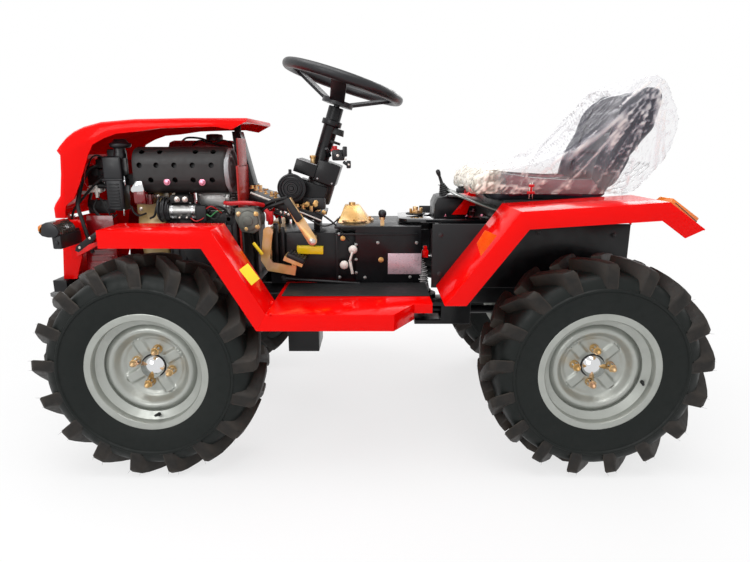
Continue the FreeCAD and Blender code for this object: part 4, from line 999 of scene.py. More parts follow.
@dataclass
class Wheel:
    """One lug tyre on its silver rim, with cap nuts and a chrome cap.

    Sizes are in millimetres. Forms are made for a left wheel, whose outboard side is +Y.
    """

    end: End
    side: Side
    stud_turn: float
    valve_turn: float
    centre: Vector = field(init=False)
    flank: float = 85.0
    tip_radius: float = 312.0
    base_radius: float = 282.0
    shoulder_radius: float = 268.0
    bead_radius: float = 150.0
    line_radius: float = 236.0
    lugs: int = 17
    lug_sweep: float = 13.0
    lug_half: float = 14.5
    studs: int = 4
    stud_circle: float = 50.0
    face_radius: float = 86.0
    ring_radius: float = 109.0
    dish_radius: float = 131.0

    def __post_init__(self) -> None:
        """Reads the wheel's place from its rim."""
        low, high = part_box(f"rim_{self.end.value}_left")
        self.centre = (low + high) / 2 / MM

    @property
    def key(self) -> str:
        """Which wheel it is, as the nodes' names end."""
        return f"{self.end.value}_{self.side.value}"

    def placed(self, made: Form) -> Form:
        """Puts a left wheel's form on the wheel's own side.

        Args:
            made: The form, which is freed if it is mirrored.

        Returns:
            The form, or its mirror image.
        """
        if self.side is Side.LEFT:
            return made
        twin = moved(made, ACROSS)
        made.free()
        return twin

    def build(self) -> None:
        """Makes the tyre, the rim, the nuts and the small parts."""
        hub = node_form("hub_" + self.key)
        turned = moved(hub, turned_about(self.centre, (0, 1, 0), self.stud_turn))
        hub.free()
        self.add("tyre_carcass", self.placed(self.carcass()), RUBBER, "tyre")
        self.add("tyre_lugs", self.placed(self.lug_rows()), DUSTED, sharp=40.0)
        self.add("tyre_hairs", self.placed(self.hairs()), SOFT_BLACK)
        self.add("rim_pressing", self.placed(self.rim()), SILVER, "rim", 50.0)
        self.add("rim_seam", self.placed(self.seam()), SOFT_BLACK)
        self.add("hub_turned", turned, CHROME, "hub", 50.0)
        self.add("cap_nuts", self.placed(self.nuts()), ZINC)
        self.add("valve", self.placed(self.valve()), SOFT_BLACK)

    def add(self, name: str, made: Form, finish: Finish, node: str = "", sharp: float = 35.0) -> None:
        """Adds one of the wheel's pieces.

        Args:
            name: What the piece is called, without which wheel it is on.
            made: Its form.
            finish: Its surface.
            node: Kind of CAD node that it stands for, or nothing.
            sharp: Angle in degrees above which an edge stays sharp.
        """
        replaces = (f"{node}_{self.key}",) if node else ()
        add_piece(f"{name}_{self.key}", made, finish, f"wheel_{self.key}", replaces, sharp)

    def carcass(self) -> Form:
        """Tyre without its lugs: beads, bulged flanks with a raised line, and a crowned tread base.

        Returns:
            The form.
        """
        line = self.line_radius
        side = [(67, self.bead_radius + 3), (70, 166), (72.5, 174), (76, 186), (79, 200), (80.5, 216),
            (81, line - 7), (84.5, line - 4), (84.5, line + 1), (81, line + 4), (80, line + 12),
            (75, self.shoulder_radius - 8), (68, self.shoulder_radius + 2), (50, self.base_radius - 5),
            (25, self.base_radius - 1), (0, self.base_radius)]
        inner = [(0, self.base_radius - 16), (50, self.base_radius - 22), (66, 236), (64, 190), (58, 166),
            (54, self.bead_radius + 3)]
        profile = side + [(-a, r) for a, r in reversed(side[:-1])]
        profile += [(-a, r) for a, r in reversed(inner[1:])] + inner + side[:1]
        return spun(profile, self.centre, steps=6 * self.lugs)

    def lug_station(self, inward: float, turn: float, top: float, base: float, half_top: float,
            half_base: float) -> list[Vector]:
        """Corners of a lug's cross-section, at its own place across and round the tyre.

        Args:
            inward: Distance from the centre plane, outboard.
            turn: Angle round the axle, in degrees.
            top: Radius of the lug's top.
            base: Radius of its foot, inside the carcass.
            half_top: Half the width of its top.
            half_base: Half the width of its foot.

        Returns:
            Four points, from the trailing foot over the top to the leading foot.
        """
        corners = []
        for radius, half in ((base, -half_base), (top, -half_top), (top, half_top), (base, half_base)):
            angle = math.radians(turn) + half / radius
            corners.append(self.centre
                + Vector((radius * math.sin(angle), inward, radius * math.cos(angle))))
        return corners

    def lug(self) -> Form:
        """One bar of the outboard row, from its foot on the flank to past the middle of the tread.

        Returns:
            The form.
        """
        tip = self.tip_radius
        runs = ((81.8, -0.6, self.line_radius + 10, self.line_radius + 2, 8.5, 11.0),
            (83.0, -0.6, tip - 44, self.line_radius - 2, 9.5, 14.0), (82.0, -0.5, tip - 18,
            self.line_radius + 10, self.lug_half, 17.0), (76.0, 0.6, tip - 8, self.shoulder_radius - 26,
            self.lug_half, 18.5), (60.0, 3.2, tip - 3.5, self.base_radius - 30, self.lug_half, 19.0),
            (36.0, 7.4, tip - 1.0, self.base_radius - 24, self.lug_half, 18.5),
            (12.0, 11.4, tip, self.base_radius - 20, self.lug_half, 18.0), (-6.0, self.lug_sweep + 0.6,
            tip, self.base_radius - 20, self.lug_half - 1.0, 16.0))
        made = bmesh.new()
        rings = []
        for run in runs:
            ring = [made.verts.new(p) for p in self.lug_station(*run)]
            rings.append([made.edges.new(pair) for pair in zip(ring, ring[1:] + ring[:1])])
        for one, two in zip(rings, rings[1:]):
            bmesh.ops.bridge_loops(made, edges=one + two)
        bmesh.ops.holes_fill(made, edges=made.edges, sides=4)
        bmesh.ops.recalc_face_normals(made, faces=made.faces)
        soften(made, 1.8, 2, above=38.0)
        return made

    def lug_rows(self) -> Form:
        """Both rows of bars, the far row half a pitch behind the near one.

        Returns:
            The form.
        """
        one = self.lug()
        across = Matrix.Translation((0, 2 * self.centre.y, 0)) @ ACROSS
        pitch = 360.0 / self.lugs
        rows = []
        for k in range(self.lugs):
            near = turned_about(self.centre, (0, 1, 0), pitch * k)
            far = turned_about(self.centre, (0, 1, 0), pitch * (k + 0.5)) @ across
            rows += [moved(one, near), moved(one, far)]
        one.free()
        return gathered(rows)

    def hairs(self) -> Form:
        """Thin moulding hairs left on the lugs' outer corners.

        Returns:
            The form.
        """
        draw = random.Random(self.end.value)
        hairs = []
        for k in range(self.lugs):
            for shift in (-self.lug_half, self.lug_half):
                turn = math.radians(360.0 / self.lugs * k) + shift / self.tip_radius
                foot = Vector((math.sin(turn), 0, math.cos(turn))) * (self.tip_radius - 20)
                lean = Vector((math.sin(turn + draw.uniform(-0.5, 0.5)), draw.uniform(0.0, 0.9),
                    math.cos(turn + draw.uniform(-0.5, 0.5)))).normalized()
                start = self.centre + foot + Vector((0, self.flank - 3, 0))
                hairs.append(rod(start, start + lean * draw.uniform(9.0, 17.0), 0.45, 0.15, 5, 0))
        return gathered(hairs)

    def rim(self) -> Form:
        """Barrel and dish of the rim, with four pressed pockets round the studs.

        Returns:
            The form.
        """
        lip = 169.0
        barrel = [(-70, 150), (-70, lip - 3), (-69, lip), (-66, lip), (-65, 155), (-62, 152), (-48, 151),
            (-34, 131), (22, 131), (31, 131.5), (37, 134), (46, 149), (50, 151.5), (63, 152), (65, 155),
            (66, lip - 4), (67, lip - 1.5), (69, lip), (70.6, lip - 1.5), (71, lip - 4), (70, 150),
            (66, 147.5), (50, 147.5), (38, 128), (-38, 127), (-50, 147), (-66, 147), (-70, 150)]
        shell = spun(barrel, self.centre, steps=96)
        return gathered([shell, self.dish()])

    def dish(self) -> Form:
        """Rim's disc: a rolled ring round a flat face with four raised diagonal ribs.

        Returns:
            The form.
        """
        made = bmesh.new()
        inner = 31.0
        bmesh.ops.create_circle(made, cap_ends=False, radius=inner, segments=144)
        edges = list(made.edges)
        radii = [33, 36, 40, 46, 52, 58, 64, 70, 75, 79, 83, self.face_radius, 89, 92, 96, 100, 104,
            self.ring_radius]
        radii += [114, 119, 124, 128, self.dish_radius]
        last = inner
        for radius in radii:
            grown = bmesh.ops.extrude_edge_only(made, edges=edges)
            verts = [g for g in grown["geom"] if isinstance(g, bmesh.types.BMVert)]
            edges = [g for g in grown["geom"] if isinstance(g, bmesh.types.BMEdge)]
            bmesh.ops.scale(made, vec=(radius / last, radius / last, 1), verts=verts)
            last = radius
        for vert in made.verts:
            vert.co.z = self.dish_height(math.hypot(vert.co.x, vert.co.y), math.atan2(vert.co.y, vert.co.x))
        bmesh.ops.recalc_face_normals(made, faces=made.faces)
        bmesh.ops.solidify(made, geom=made.faces, thickness=3.5)
        face = Matrix.Translation(self.centre) @ Matrix.Rotation(math.radians(-90), 4, "X")
        bmesh.ops.transform(made, matrix=face @ Matrix.Rotation(math.radians(self.stud_turn), 4, "Z"),
            verts=made.verts)
        bmesh.ops.recalc_face_normals(made, faces=made.faces)
        return made

    def dish_height(self, radius: float, angle: float) -> float:
        """Height of the disc's face, outboard of the tyre's centre plane.

        Args:
            radius: Distance from the axle.
            angle: Direction round the axle, 0 along a stud.

        Returns:
            The height.
        """
        plane, ring, seam, edge_rise = 15.0, 43.0, 28.0, 2.0
        rib_half, rib_rise, pocket_depth = 11.0, 4.5, 3.5
        if radius <= self.face_radius:
            nearest = abs((angle + math.pi / 4) % (math.pi / 2) - math.pi / 4)
            off_rib = (math.pi / 4 - nearest) * radius
            rib = ease(1.0 - (off_rib - rib_half) / 6.0) * ease((radius - 38.0) / 8.0)
            pocket = ease((off_rib - 12.0) / 9.0) * ease((radius - 36.0) / 8.0)
            pocket *= ease((84.0 - radius) / 7.0)
            return plane + rib_rise * rib - pocket_depth * pocket + edge_rise * ease((radius - 78.0) / 8.0)
        if radius <= self.ring_radius:
            climb = (radius - self.face_radius) / (self.ring_radius - self.face_radius)
            return plane + edge_rise + (ring - plane - edge_rise) * ease(climb)
        fall = (radius - self.ring_radius) / (self.dish_radius - self.ring_radius)
        return ring + (seam - ring) * ease(fall) ** 1.4

    def seam(self) -> Form:
        """Dark joint where the disc meets the barrel, and the dark ring round the hub cap.

        Returns:
            The form.
        """
        joint = [(28.6, 128.5), (28.6, 131.6), (26, 131.6), (26, 128.5), (28.6, 128.5)]
        collar = [(14.5, 30.5), (14.5, 34.5), (17.2, 34.2), (17.2, 30.5), (14.5, 30.5)]
        return gathered([spun(joint, self.centre, steps=96), spun(collar, self.centre, steps=48)])

    def nuts(self) -> Form:
        """Four cap nuts on cone seats.

        Returns:
            The form.
        """
        nuts = []
        for k in range(self.studs):
            turn = turned_about(self.centre, (0, 1, 0), 360.0 / self.studs * k + self.stud_turn)
            foot = self.centre + Vector((0, 11.0, self.stud_circle))
            out = Vector((0, 1, 0))
            head = gathered([spun([(0, 13.0), (4, 13.0), (8, 11.0), (8, 0.01)], foot, out, 24),
                rod(foot + out * 7, foot + out * 24, 11.8, sides=6, round_mm=1.4),
                spun([(0, 9.0), (6, 8.6), (12, 6.4), (16, 3.4), (17.4, 0.01)], foot + out * 23, out, 20)])
            nuts.append(moved(head, turn))
            head.free()
        return gathered(nuts)

    def valve(self) -> Form:
        """Rubber valve stem with its cap, through the rim's slope.

        Returns:
            The form.
        """
        foot = self.centre + Vector((0, 36, 138))
        tip = foot + Vector((0, 20, -7))
        stem = gathered([rod(foot - (tip - foot) * 0.2, tip, 6.5, 4.2),
            rod(tip, tip + (tip - foot) * 0.5, 4.0, 3.6)])
        turned = moved(stem, turned_about(self.centre, (0, 1, 0), self.valve_turn))
        stem.free()
        return turned


def ease(share: float) -> float:
    """Smooth step from 0 to 1, level at both ends."""
    t = min(max(share, 0.0), 1.0)
    return t * t * (3 - 2 * t)


# Seat


def remeshed(made: Form, voxel_mm: float) -> bpy.types.Mesh:
    """Even mesh of small faces over a closed form, in metres; the form is freed.

    Args:
        made: The form, in millimetres.
        voxel_mm: Size of the faces.

    Returns:
        The mesh.
    """
    bmesh.ops.scale(made, vec=(MM, MM, MM), verts=made.verts)
    rough = meshed("rough", made)
    holder = linked("holder", rough)
    grid = holder.modifiers.new("grid", "REMESH")
    grid.mode = "VOXEL"
    grid.voxel_size = voxel_mm * MM
    even = bpy.data.meshes.new_from_object(holder.evaluated_get(bpy.context.evaluated_depsgraph_get()))
    bpy.data.objects.remove(holder)
    bpy.data.meshes.remove(rough)
    return even


def swollen(mesh: bpy.types.Mesh, cap_mm: float, pressure: float = 4.0, frames: int = 20) -> None:
    """Blows a closed mesh up as stuffing does, and lets no point move further than a cap.

    Args:
        mesh: The mesh, in metres, which is changed.
        cap_mm: How far a point may move.
        pressure: Pressure inside it.
        frames: How long it swells.
    """
    scene = bpy.context.scene
    holder = linked("holder", mesh)
    cloth = holder.modifiers.new("cloth", "CLOTH")
    cloth.settings.use_pressure = True
    cloth.settings.uniform_pressure_force = pressure
    cloth.settings.effector_weights.gravity = 0.0
    cloth.settings.quality = 4
    cloth.point_cache.frame_start = 1
    cloth.point_cache.frame_end = frames
    for frame_number in range(1, frames + 1):
        scene.frame_set(frame_number)
    blown = holder.evaluated_get(bpy.context.evaluated_depsgraph_get())
    places = [v.co.copy() for v in blown.data.vertices]
    bpy.data.objects.remove(holder)
    scene.frame_set(1)
    for vert, place in zip(mesh.vertices, places):
        step = place - vert.co
        if step.length > cap_mm * MM:
            step = step.normalized() * cap_mm * MM
        vert.co = vert.co + step


def pinched(made: Form, seams: Sequence[Callable[[Vector], float]], depth: float, width: float) -> None:
    """Draws a padded form in along its sewn seams.

    Args:
        made: The form, in millimetres.
        seams: Functions that give a point's distance from each seam, in millimetres.
        depth: How deep a seam lies.
        width: How far from the seam the surface begins to fall.
    """
    made.normal_update()
    steps = []
    for vert in made.verts:
        near = min(seam(vert.co) for seam in seams)
        steps.append(vert.normal * -depth * math.exp(-((near / width) ** 2)))
    for vert, step in zip(made.verts, steps):
        vert.co += step


@dataclass
class Seat:
    """Black vinyl bucket seat with dark red sides, still in its clear shipping film.

    Sizes are in millimetres.
    """

    half_width: float = 196.0
    shoulder_round: float = 70.0
    bolster_at: float = 128.0
    voxel: float = 6.0
    cushion_cap: float = 13.0
    back_cap: float = 15.0
    pad_rounds: int = 3
    seam_depth: float = 7.0
    seam_width: float = 7.0
    welt_radius: float = 2.6
    film_half: float = 216.0
    film_voxel: float = 7.0
    film_rounds: int = 6
    film_hem: float = 766.0
    fold_height: float = 3.0
    fold_roots: tuple[tuple[float, float, float, float], ...] = ((-806, 1100, 430.0, 9.0),
        (-296, 806, 230.0, 8.0))
    cushion_side: Outline = ((-322, 770), (-326, 800), (-344, 814), (-400, 806), (-480, 794), (-600, 788),
        (-660, 790), (-694, 800), (-698, 770), (-660, 760), (-344, 760))
    back_side: Outline = ((-700, 790), (-712, 850), (-722, 900), (-738, 960), (-756, 1020), (-772, 1066),
        (-790, 1084), (-816, 1080), (-826, 1052), (-810, 980), (-788, 910), (-764, 850), (-742, 800),
        (-726, 772), (-706, 770))
    film_side: Outline = ((-286, 786), (-300, 812), (-330, 838), (-400, 846), (-478, 858), (-573, 902),
        (-640, 958), (-700, 1022), (-740, 1074), (-770, 1096), (-806, 1102), (-834, 1090), (-846, 1050),
        (-866, 1010), (-872, 960), (-858, 900), (-830, 850), (-796, 808), (-764, 778), (-716, 762),
        (-500, 757), (-340, 757), (-300, 762))

    def build(self) -> None:
        """Makes the pads, their side panels and welts, the film and the belt clip."""
        cushion = self.pad("seat_cushion_pad", self.cushion_side, self.shape_cushion, self.cushion_cap,
            (lambda p: abs(abs(p.y) - self.bolster_at), lambda p: self.cross_seams(p, (-420, -500, -580))),
            "seat_cushion")
        back = self.pad("seat_back_pad", self.back_side, self.shape_back, self.back_cap,
            (lambda p: abs(abs(p.y) - self.bolster_at + 8), self.rise_seams), "seat_back")
        self.side_panels(cushion)
        self.welts(cushion, back)
        self.film()
        self.clip()

    def pad(self, name: str, side: Outline, shape: Callable[[Vector], Vector], cap: float,
            seams: Sequence[Callable[[Vector], float]], node: str) -> bpy.types.Object:
        """One stuffed pad, swollen from a smaller closed form and then sewn.

        Args:
            name: The piece's name.
            side: Its outline in side view.
            shape: Moves a point of the plain form to its place on the pad.
            cap: How far a point may swell.
            seams: Distances from its seams.
            node: The CAD node that it stands for.

        Returns:
            The pad.
        """
        mesh = remeshed(plate(side, -self.half_width, self.half_width, 6.0), self.voxel)
        for vert in mesh.vertices:
            vert.co = shape(vert.co / MM) * MM
        swollen(mesh, cap)
        made = form_of(mesh)
        bpy.data.meshes.remove(mesh)
        relaxed(made, self.pad_rounds)
        pinched(made, seams, self.seam_depth, self.seam_width)
        piece = add_piece(name, made, VINYL, "rear_frame", (node,), sharp=80.0, levels=1)
        return piece

    def shape_cushion(self, p: Vector) -> Vector:
        """Shapes the cushion: raised bolsters, a dished middle and rounded front corners.

        Args:
            p: The point.

        Returns:
            Its place on the cushion.
        """
        top = ease((p.z - 768) / 24)
        lift = 9.0 * ease((abs(p.y) - 110) / 40) - 5.0 * (1 - ease((abs(p.y) - 70) / 50))
        corner = ease((p.x + 400) / 80)
        narrow = 1.0 - 0.1 * corner ** 2
        return Vector((p.x - 16 * corner * (abs(p.y) / self.half_width) ** 4, p.y * narrow, p.z
            + lift * top))

    def shape_back(self, p: Vector) -> Vector:
        """Shapes the back: bolsters that reach forward, and round shoulders.

        Args:
            p: The point.

        Returns:
            Its place on the back.
        """
        above = max(p.z - (1082 - self.shoulder_round), 0.0) / self.shoulder_round
        narrow = 1.0 - 0.2 * (1 - math.sqrt(max(1 - min(above, 1.0) ** 2.4, 0.0)))
        front = ease((p.x - (-806 + (1046 - p.z) * -0.26) - 20) / 30)
        low_wing = 34.0 * ease((960 - p.z) / 150)
        upper = ease((p.z - 1000) / 70)
        reach = (16.0 + low_wing) * ease((abs(p.y) - 110) / 40) * front * (1 - 0.6 * upper)
        wrap = -10.0 * (1 - ease(abs(p.y) / 110)) * front
        return Vector((p.x + reach + wrap, p.y * narrow, p.z))

    def cross_seams(self, p: Vector, rows: Sequence[float]) -> float:
        """Distance from the cross seams of the cushion's middle panel.

        Args:
            p: The point.
            rows: Where the seams lie along x.

        Returns:
            The distance, or a long one off the panel.
        """
        if abs(p.y) > self.bolster_at or p.z < 775:
            return FAR_AWAY
        return min(abs(p.x - row) for row in rows)

    def rise_seams(self, p: Vector) -> float:
        """Distance from the cross seams of the back's middle panel.

        Args:
            p: The point.

        Returns:
            The distance, or a long one off the panel.
        """
        if abs(p.y) > self.bolster_at - 8:
            return FAR_AWAY
        return min(abs(p.z - row) for row in (880, 950, 1020))

    def side_panels(self, cushion: bpy.types.Object) -> None:
        """Dark red vinyl on the cushion's two sides.

        Args:
            cushion: The cushion's pad.
        """
        made = form_of(cushion.data)
        made.normal_update()
        spare = [f for f in made.faces if not (abs(f.normal.y) > 0.5 and f.calc_center_median().x < -392
            and f.calc_center_median().z > 764)]
        bmesh.ops.delete(made, geom=spare, context="FACES")
        bmesh.ops.solidify(made, geom=made.faces, thickness=-1.0)
        add_piece("seat_side_panels", made, RED_VINYL, "rear_frame", sharp=80.0, levels=1)

    def welts(self, cushion: bpy.types.Object, back: bpy.types.Object) -> None:
        """Round welts where the bolsters meet the middle panels.

        Args:
            cushion: The cushion's pad.
            back: The back's pad.
        """
        welts = []
        for piece, line in ((cushion, [(-340 - 24 * k, 845 - 2 * k) for k in range(15)]),
                (back, [(-690 - 8 * k, 830 + 21 * k) for k in range(12)])):
            tree = bvhtree.BVHTree.FromObject(piece, bpy.context.evaluated_depsgraph_get())
            for side in (-1, 1):
                path = []
                for x, z in line:
                    y = side * (self.bolster_at - (8 if piece is back else 0) + 9)
                    found = tree.find_nearest(Vector((x, y, z)) * MM)
                    path.append(found[0] / MM + found[1] * self.welt_radius * 0.4)
                welts.append(hose(path, self.welt_radius, sides=8, per_span=3))
        add_piece("seat_welts", welts, SOFT_BLACK, "rear_frame", sharp=60.0)

    def crease(self, p: Vector) -> float:
        """Height of the film's folds at a point, from -1 in a valley to 1 on a crest.

        Folds run out from the back's top corner and from the bunch at the cushion's front.

        Args:
            p: The point.

        Returns:
            The height.
        """
        total = 0.0
        for number, (x, z, reach, turns) in enumerate(self.fold_roots):
            away = Vector((p.x - x, p.z - z))
            angle = math.atan2(away.y, away.x)
            share = math.exp(-((away.length / reach) ** 2))
            broad = noise.noise(Vector((angle * turns, p.y * 0.03, away.length * 0.003 + 7 * number)))
            thin = noise.noise(Vector((angle * turns * 2.6, p.y * 0.06, away.length * 0.002 + 31 * number)))
            total += share * (1.1 * max(1 - 7 * abs(broad), 0.0) + 0.9 * max(1 - 6 * abs(thin), 0.0))
        bunch = ease((p.x + 400) / 90) * ease((p.z - 770) / 30)
        crumple = abs(noise.noise(p * 0.03)) + 0.6 * abs(noise.noise(p * 0.075))
        lower = ease((900 - p.z) / 60) * ease((p.x + 800) / 40)
        return total + (0.1 + 0.6 * lower + 0.8 * bunch) * max(1 - 4.5 * crumple, -0.2) + 0.35 * bunch

    def film(self) -> None:
        """Bag of clear film, drawn tight from the back's top to the front and bunched at both ends."""
        mesh = remeshed(plate(self.film_side, -self.film_half, self.film_half, 14.0), self.film_voxel)
        made = form_of(mesh)
        bpy.data.meshes.remove(mesh)
        under = [f for f in made.faces if f.calc_center_median().z < self.film_hem]
        bmesh.ops.delete(made, geom=under, context="FACES")
        bmesh.ops.delete(made, geom=[v for v in made.verts if not v.link_faces], context="VERTS")
        relaxed(made, self.film_rounds)
        for vert in made.verts:
            high = ease((vert.co.z - 960) / 150)
            vert.co.y *= 1.0 - 0.09 * high - 0.06 * ease((vert.co.x + 420) / 120)
        made.normal_update()
        heights = [self.crease(v.co) for v in made.verts]
        for vert, height in zip(made.verts, heights):
            vert.co += vert.normal * height * self.fold_height
        # The crease layer is the mask of the film's painted highlight: the fold height, weighted above z 860
        # towards faces that look sideways.
        layer = made.verts.layers.float.new("crease")
        milk = made.verts.layers.float.new("milk")
        for vert, height in zip(made.verts, heights):
            side_facing_highlight = 0.3 + 0.7 * ease((abs(vert.normal.y) - 0.2) / 0.5)
            vert[layer] = height * (side_facing_highlight if vert.co.z > 860 else 1.0)
            vert[milk] = max(ease((vert.co.x + 430) / 90),
                0.5 * ease((880 - vert.co.z) / 70) * ease((vert.co.x + 740) / 60))
        area = sum(f.calc_area() for f in made.faces) * MM * MM
        piece = add_piece("seat_film", made, FILM, "rear_frame", sharp=180.0)
        LOG.info("film area %.3f square metres", area)

    def clip(self) -> None:
        """Red belt clip on two thin zinc rods at the cushion's near edge."""
        add_piece("belt_clip", [block((-466, 221, 792), (-450, 228, 800), 1.5),
            block((-468, 221, 772), (-446, 229, 780), 1.5),
            block((-461, 221, 780), (-455, 227, 792), 1.0)], WIRE_RED, "rear_frame")
        add_piece("belt_clip_rods", [rod((-463, 225, 757), (-460, 224, 806), 1.3, sides=8),
            rod((-453, 225, 757), (-454, 224, 804), 1.3, sides=8)], WHITE_ZINC, "rear_frame")


# Engine bay


def carved(made: Form, cutters: Form) -> Form:
    """A closed form with other closed forms cut out of it; both are freed.

    Args:
        made: The form.
        cutters: What is taken away.

    Returns:
        What is left.
    """
    holders = [linked(name, meshed(name, form)) for name, form in (("body", made), ("cutter", cutters))]
    cut = holders[0].modifiers.new("cut", "BOOLEAN")
    cut.operation = "DIFFERENCE"
    cut.solver = "EXACT"
    cut.use_self = True
    cut.object = holders[1]
    left = bpy.data.meshes.new_from_object(holders[0].evaluated_get(bpy.context.evaluated_depsgraph_get()))
    for holder in holders:
        mesh = holder.data
        bpy.data.objects.remove(holder)
        bpy.data.meshes.remove(mesh)
    result = bmesh.new()
    result.from_mesh(left)
    bpy.data.meshes.remove(left)
    return result


def rounded_square(half: float, corner: float, steps: int = 8) -> list[tuple[float, float]]:
    """Outline of a square with round corners, about its centre.

    Args:
        half: Half its width.
        corner: Radius of its corners.
        steps: Flats round each corner.

    Returns:
        The outline's points.
    """
    points = []
    for quarter in range(4):
        for k in range(steps + 1):
            turn = math.pi / 2 * (quarter + k / steps)
            across = (half - corner) * (1 if quarter in (0, 3) else -1)
            up = (half - corner) * (1 if quarter in (0, 1) else -1)
            points.append((across + corner * math.cos(turn), up + corner * math.sin(turn)))
    return points


def wire_run(points: Sequence[Point], radius: float) -> Form:
    """Thin wire or hose held at both ends, with few flats round it."""
    return hose(points, radius, sides=8, per_span=5)


@dataclass
class EngineBay:
    """Engine under the hood with its muffler, air cleaner, starter and wiring.

    Sizes are in millimetres.
    """

    shield_low: Point = (438.0, 49.0, 767.0)
    shield_high: Point = (716.0, 175.0, 905.0)
    shield_corner: float = 46.0
    hole_radius: float = 8.2
    fin_pitch: float = 8.5
    stack: tuple[float, float] = (750.0, 140.0)
    bowl: tuple[float, float] = (735.0, 140.0)

    def build(self) -> None:
        """Makes every piece of the engine bay."""
        self.shield()
        self.end_disc()
        self.cleaner()
        self.engine()
        self.shroud()
        self.starter()
        self.regulator()
        self.side_casting()
        self.tank()
        self.wiring()

    def shield(self) -> None:
        """Perforated heat shield round the muffler."""
        low, high = Vector(self.shield_low), Vector(self.shield_high)
        mid = (low + high) / 2
        half = (high.y - low.y) / 2
        stretch = (high.z - low.z) / 2 / half

        def stations(places: Outline) -> list[Matrix]:
            """Cross-sections of the shield.

            Args:
                places: (x, share of the full size) of each.

            Returns:
                Their stations.
            """
            turn = Matrix(((0, 0, 1, 0), (1, 0, 0, 0), (0, 1, 0, 0), (0, 0, 0, 1)))
            run = []
            for x, share in places:
                size = Matrix.Diagonal((share, share * stretch, 1, 1))
                run.append(Matrix.Translation((x, mid.y, mid.z)) @ turn @ size)
            return run

        outer = swept(rounded_square(half, self.shield_corner),
            stations(((low.x, 0.86), (low.x + 2, 0.93), (low.x + 8, 0.985), (low.x + 18, 1.0),
            (high.x - 14, 1.0), (high.x - 4, 0.985), (high.x, 0.95))))
        inside = swept(rounded_square(half - 2.5, self.shield_corner - 2),
            stations(((low.x - 5, 0.9), (high.x - 3.0, 1.0))))
        holes = [inside]
        for z, places in ((888, (687, 634, 528, 475)), (852, (693, 643, 590, 536, 480)),
                (809, (663, 591, 537, 480))):
            rise = z - mid.z
            lean = 0.0 if abs(rise) < 20 else math.copysign(0.75 if abs(rise) > 45 else 0.25, rise)
            for x in places:
                out = Vector((0, math.cos(lean), math.sin(lean)))
                foot = Vector((x, mid.y + (half - 26) * math.cos(lean), z - 26 * math.sin(lean)))
                far_foot = Vector((x, 2 * mid.y - foot.y, foot.z))
                far_out = Vector((0, -out.y, out.z))
                for start, way in ((foot, out), (far_foot, far_out)):
                    holes.append(rod(start, start + way * 60, self.hole_radius, sides=20, round_mm=0))
        add_piece("muffler_shield", carved(outer, gathered(holes)), HEAT, replaces=("muffler",), sharp=40.0)
        core = [rod((low.x + 6, mid.y, mid.z), (high.x - 8, mid.y, mid.z), half - 9, sides=48,
            round_mm=6.0), pin(493, 812, 35, 80, 16, sides=24)]
        add_piece("muffler_core", core, SOFT_BLACK)
        bolts = [bolt((x, self.shield_high[1] - 1.5, z), 15, 5, axis=(0, 1, 0.12))
            for x, z in ((615, 803), (510, 802))]
        add_piece("muffler_bolts", bolts, ROSE_ZINC)

    def end_disc(self) -> None:
        """Pressed silver end of the muffler, with rings and a black rim."""
        centre = (self.shield_low[0] - 2.0, 112.0, 834.0)
        rings = [(0, 0.01), (0, 10), (2, 12), (2, 20), (-1, 23), (-1, 32), (2, 35), (2, 44), (-1, 47),
            (-1, 55), (4, 58), (6, 62), (6, 65), (2, 67), (-6, 67), (-6, 0.01)]
        add_piece("muffler_end", spun(rings, centre, (-1, 0, 0), 72), HEAT_SILVER, sharp=50.0)

    def cleaner(self) -> None:
        """Upright air cleaner: rain cap, neck, ribbed box housing, clips and its intake pipe."""
        x, y = self.stack
        bx, by = self.bowl
        cap = [(901, 0.01), (901, 12), (903, 26), (906, 30), (911, 31.5), (915, 30), (918, 24), (923, 19),
            (927, 17), (928, 11), (928, 0.01)]
        neck = [(872, 0.01), (872, 17), (884, 19), (888, 16.5), (900, 16), (903, 20), (904, 0.01)]
        left, right = x + 4.0, x + 62.0
        forms = [spun(cap, (x + 8, y, 0), (0, 0, 1), 48), spun(neck, (x + 12, y, 0), (0, 0, 1), 40),
            block((left, by - 24, 716), (right - 6, by + 26, 812), 7.0),
            block((left, by - 22, 800), (right, by + 22, 878), 6.0)]
        for z in range(722, 796, 9):
            forms.append(block((left + 10, by + 20, z), (right - 16, by + 30, z + 4), 1.2))
        forms.append(block((left - 2, by - 26, 806), (right + 2, by + 27, 812), 2.0))
        add_piece("air_cleaner_body", forms, PLASTIC, replaces=("air_cleaner",), sharp=50.0)
        pipe = [hose([(x, y - 20, 806), (x + 2, y - 60, 808), (x - 4, 60, 808), (x - 20, 10, 808),
            (700, -18, 808), (620, -20, 808), (546, -20, 808)], 17, sides=20)]
        for k in range(9):
            pipe.append(spun([(-3, 17), (-1.2, 19.2), (1.2, 19.2), (3, 17), (-3, 17)],
                (700 - 13 * k, -19, 808), (1, 0, 0), 24))
        add_piece("intake_hose", pipe, SOFT_BLACK, sharp=45.0)
        clips = []
        for turn in (85, 205, 325):
            out = Vector((math.cos(math.radians(turn)), math.sin(math.radians(turn)), 0))
            at = Vector((bx, by, 0)) + out * 39
            clips += [rod(at + Vector((0, 0, 794)), at + Vector((0, 0, 820)), 1.6, sides=8),
                rod(at + Vector((0, 0, 806)), at + out * 4 + Vector((0, 0, 806)), 3.2, sides=12)]
        clips.append(rod((757, 168, 702), (755, 168, 722), 2.2, sides=10))
        add_piece("air_cleaner_clips", clips, STEEL)

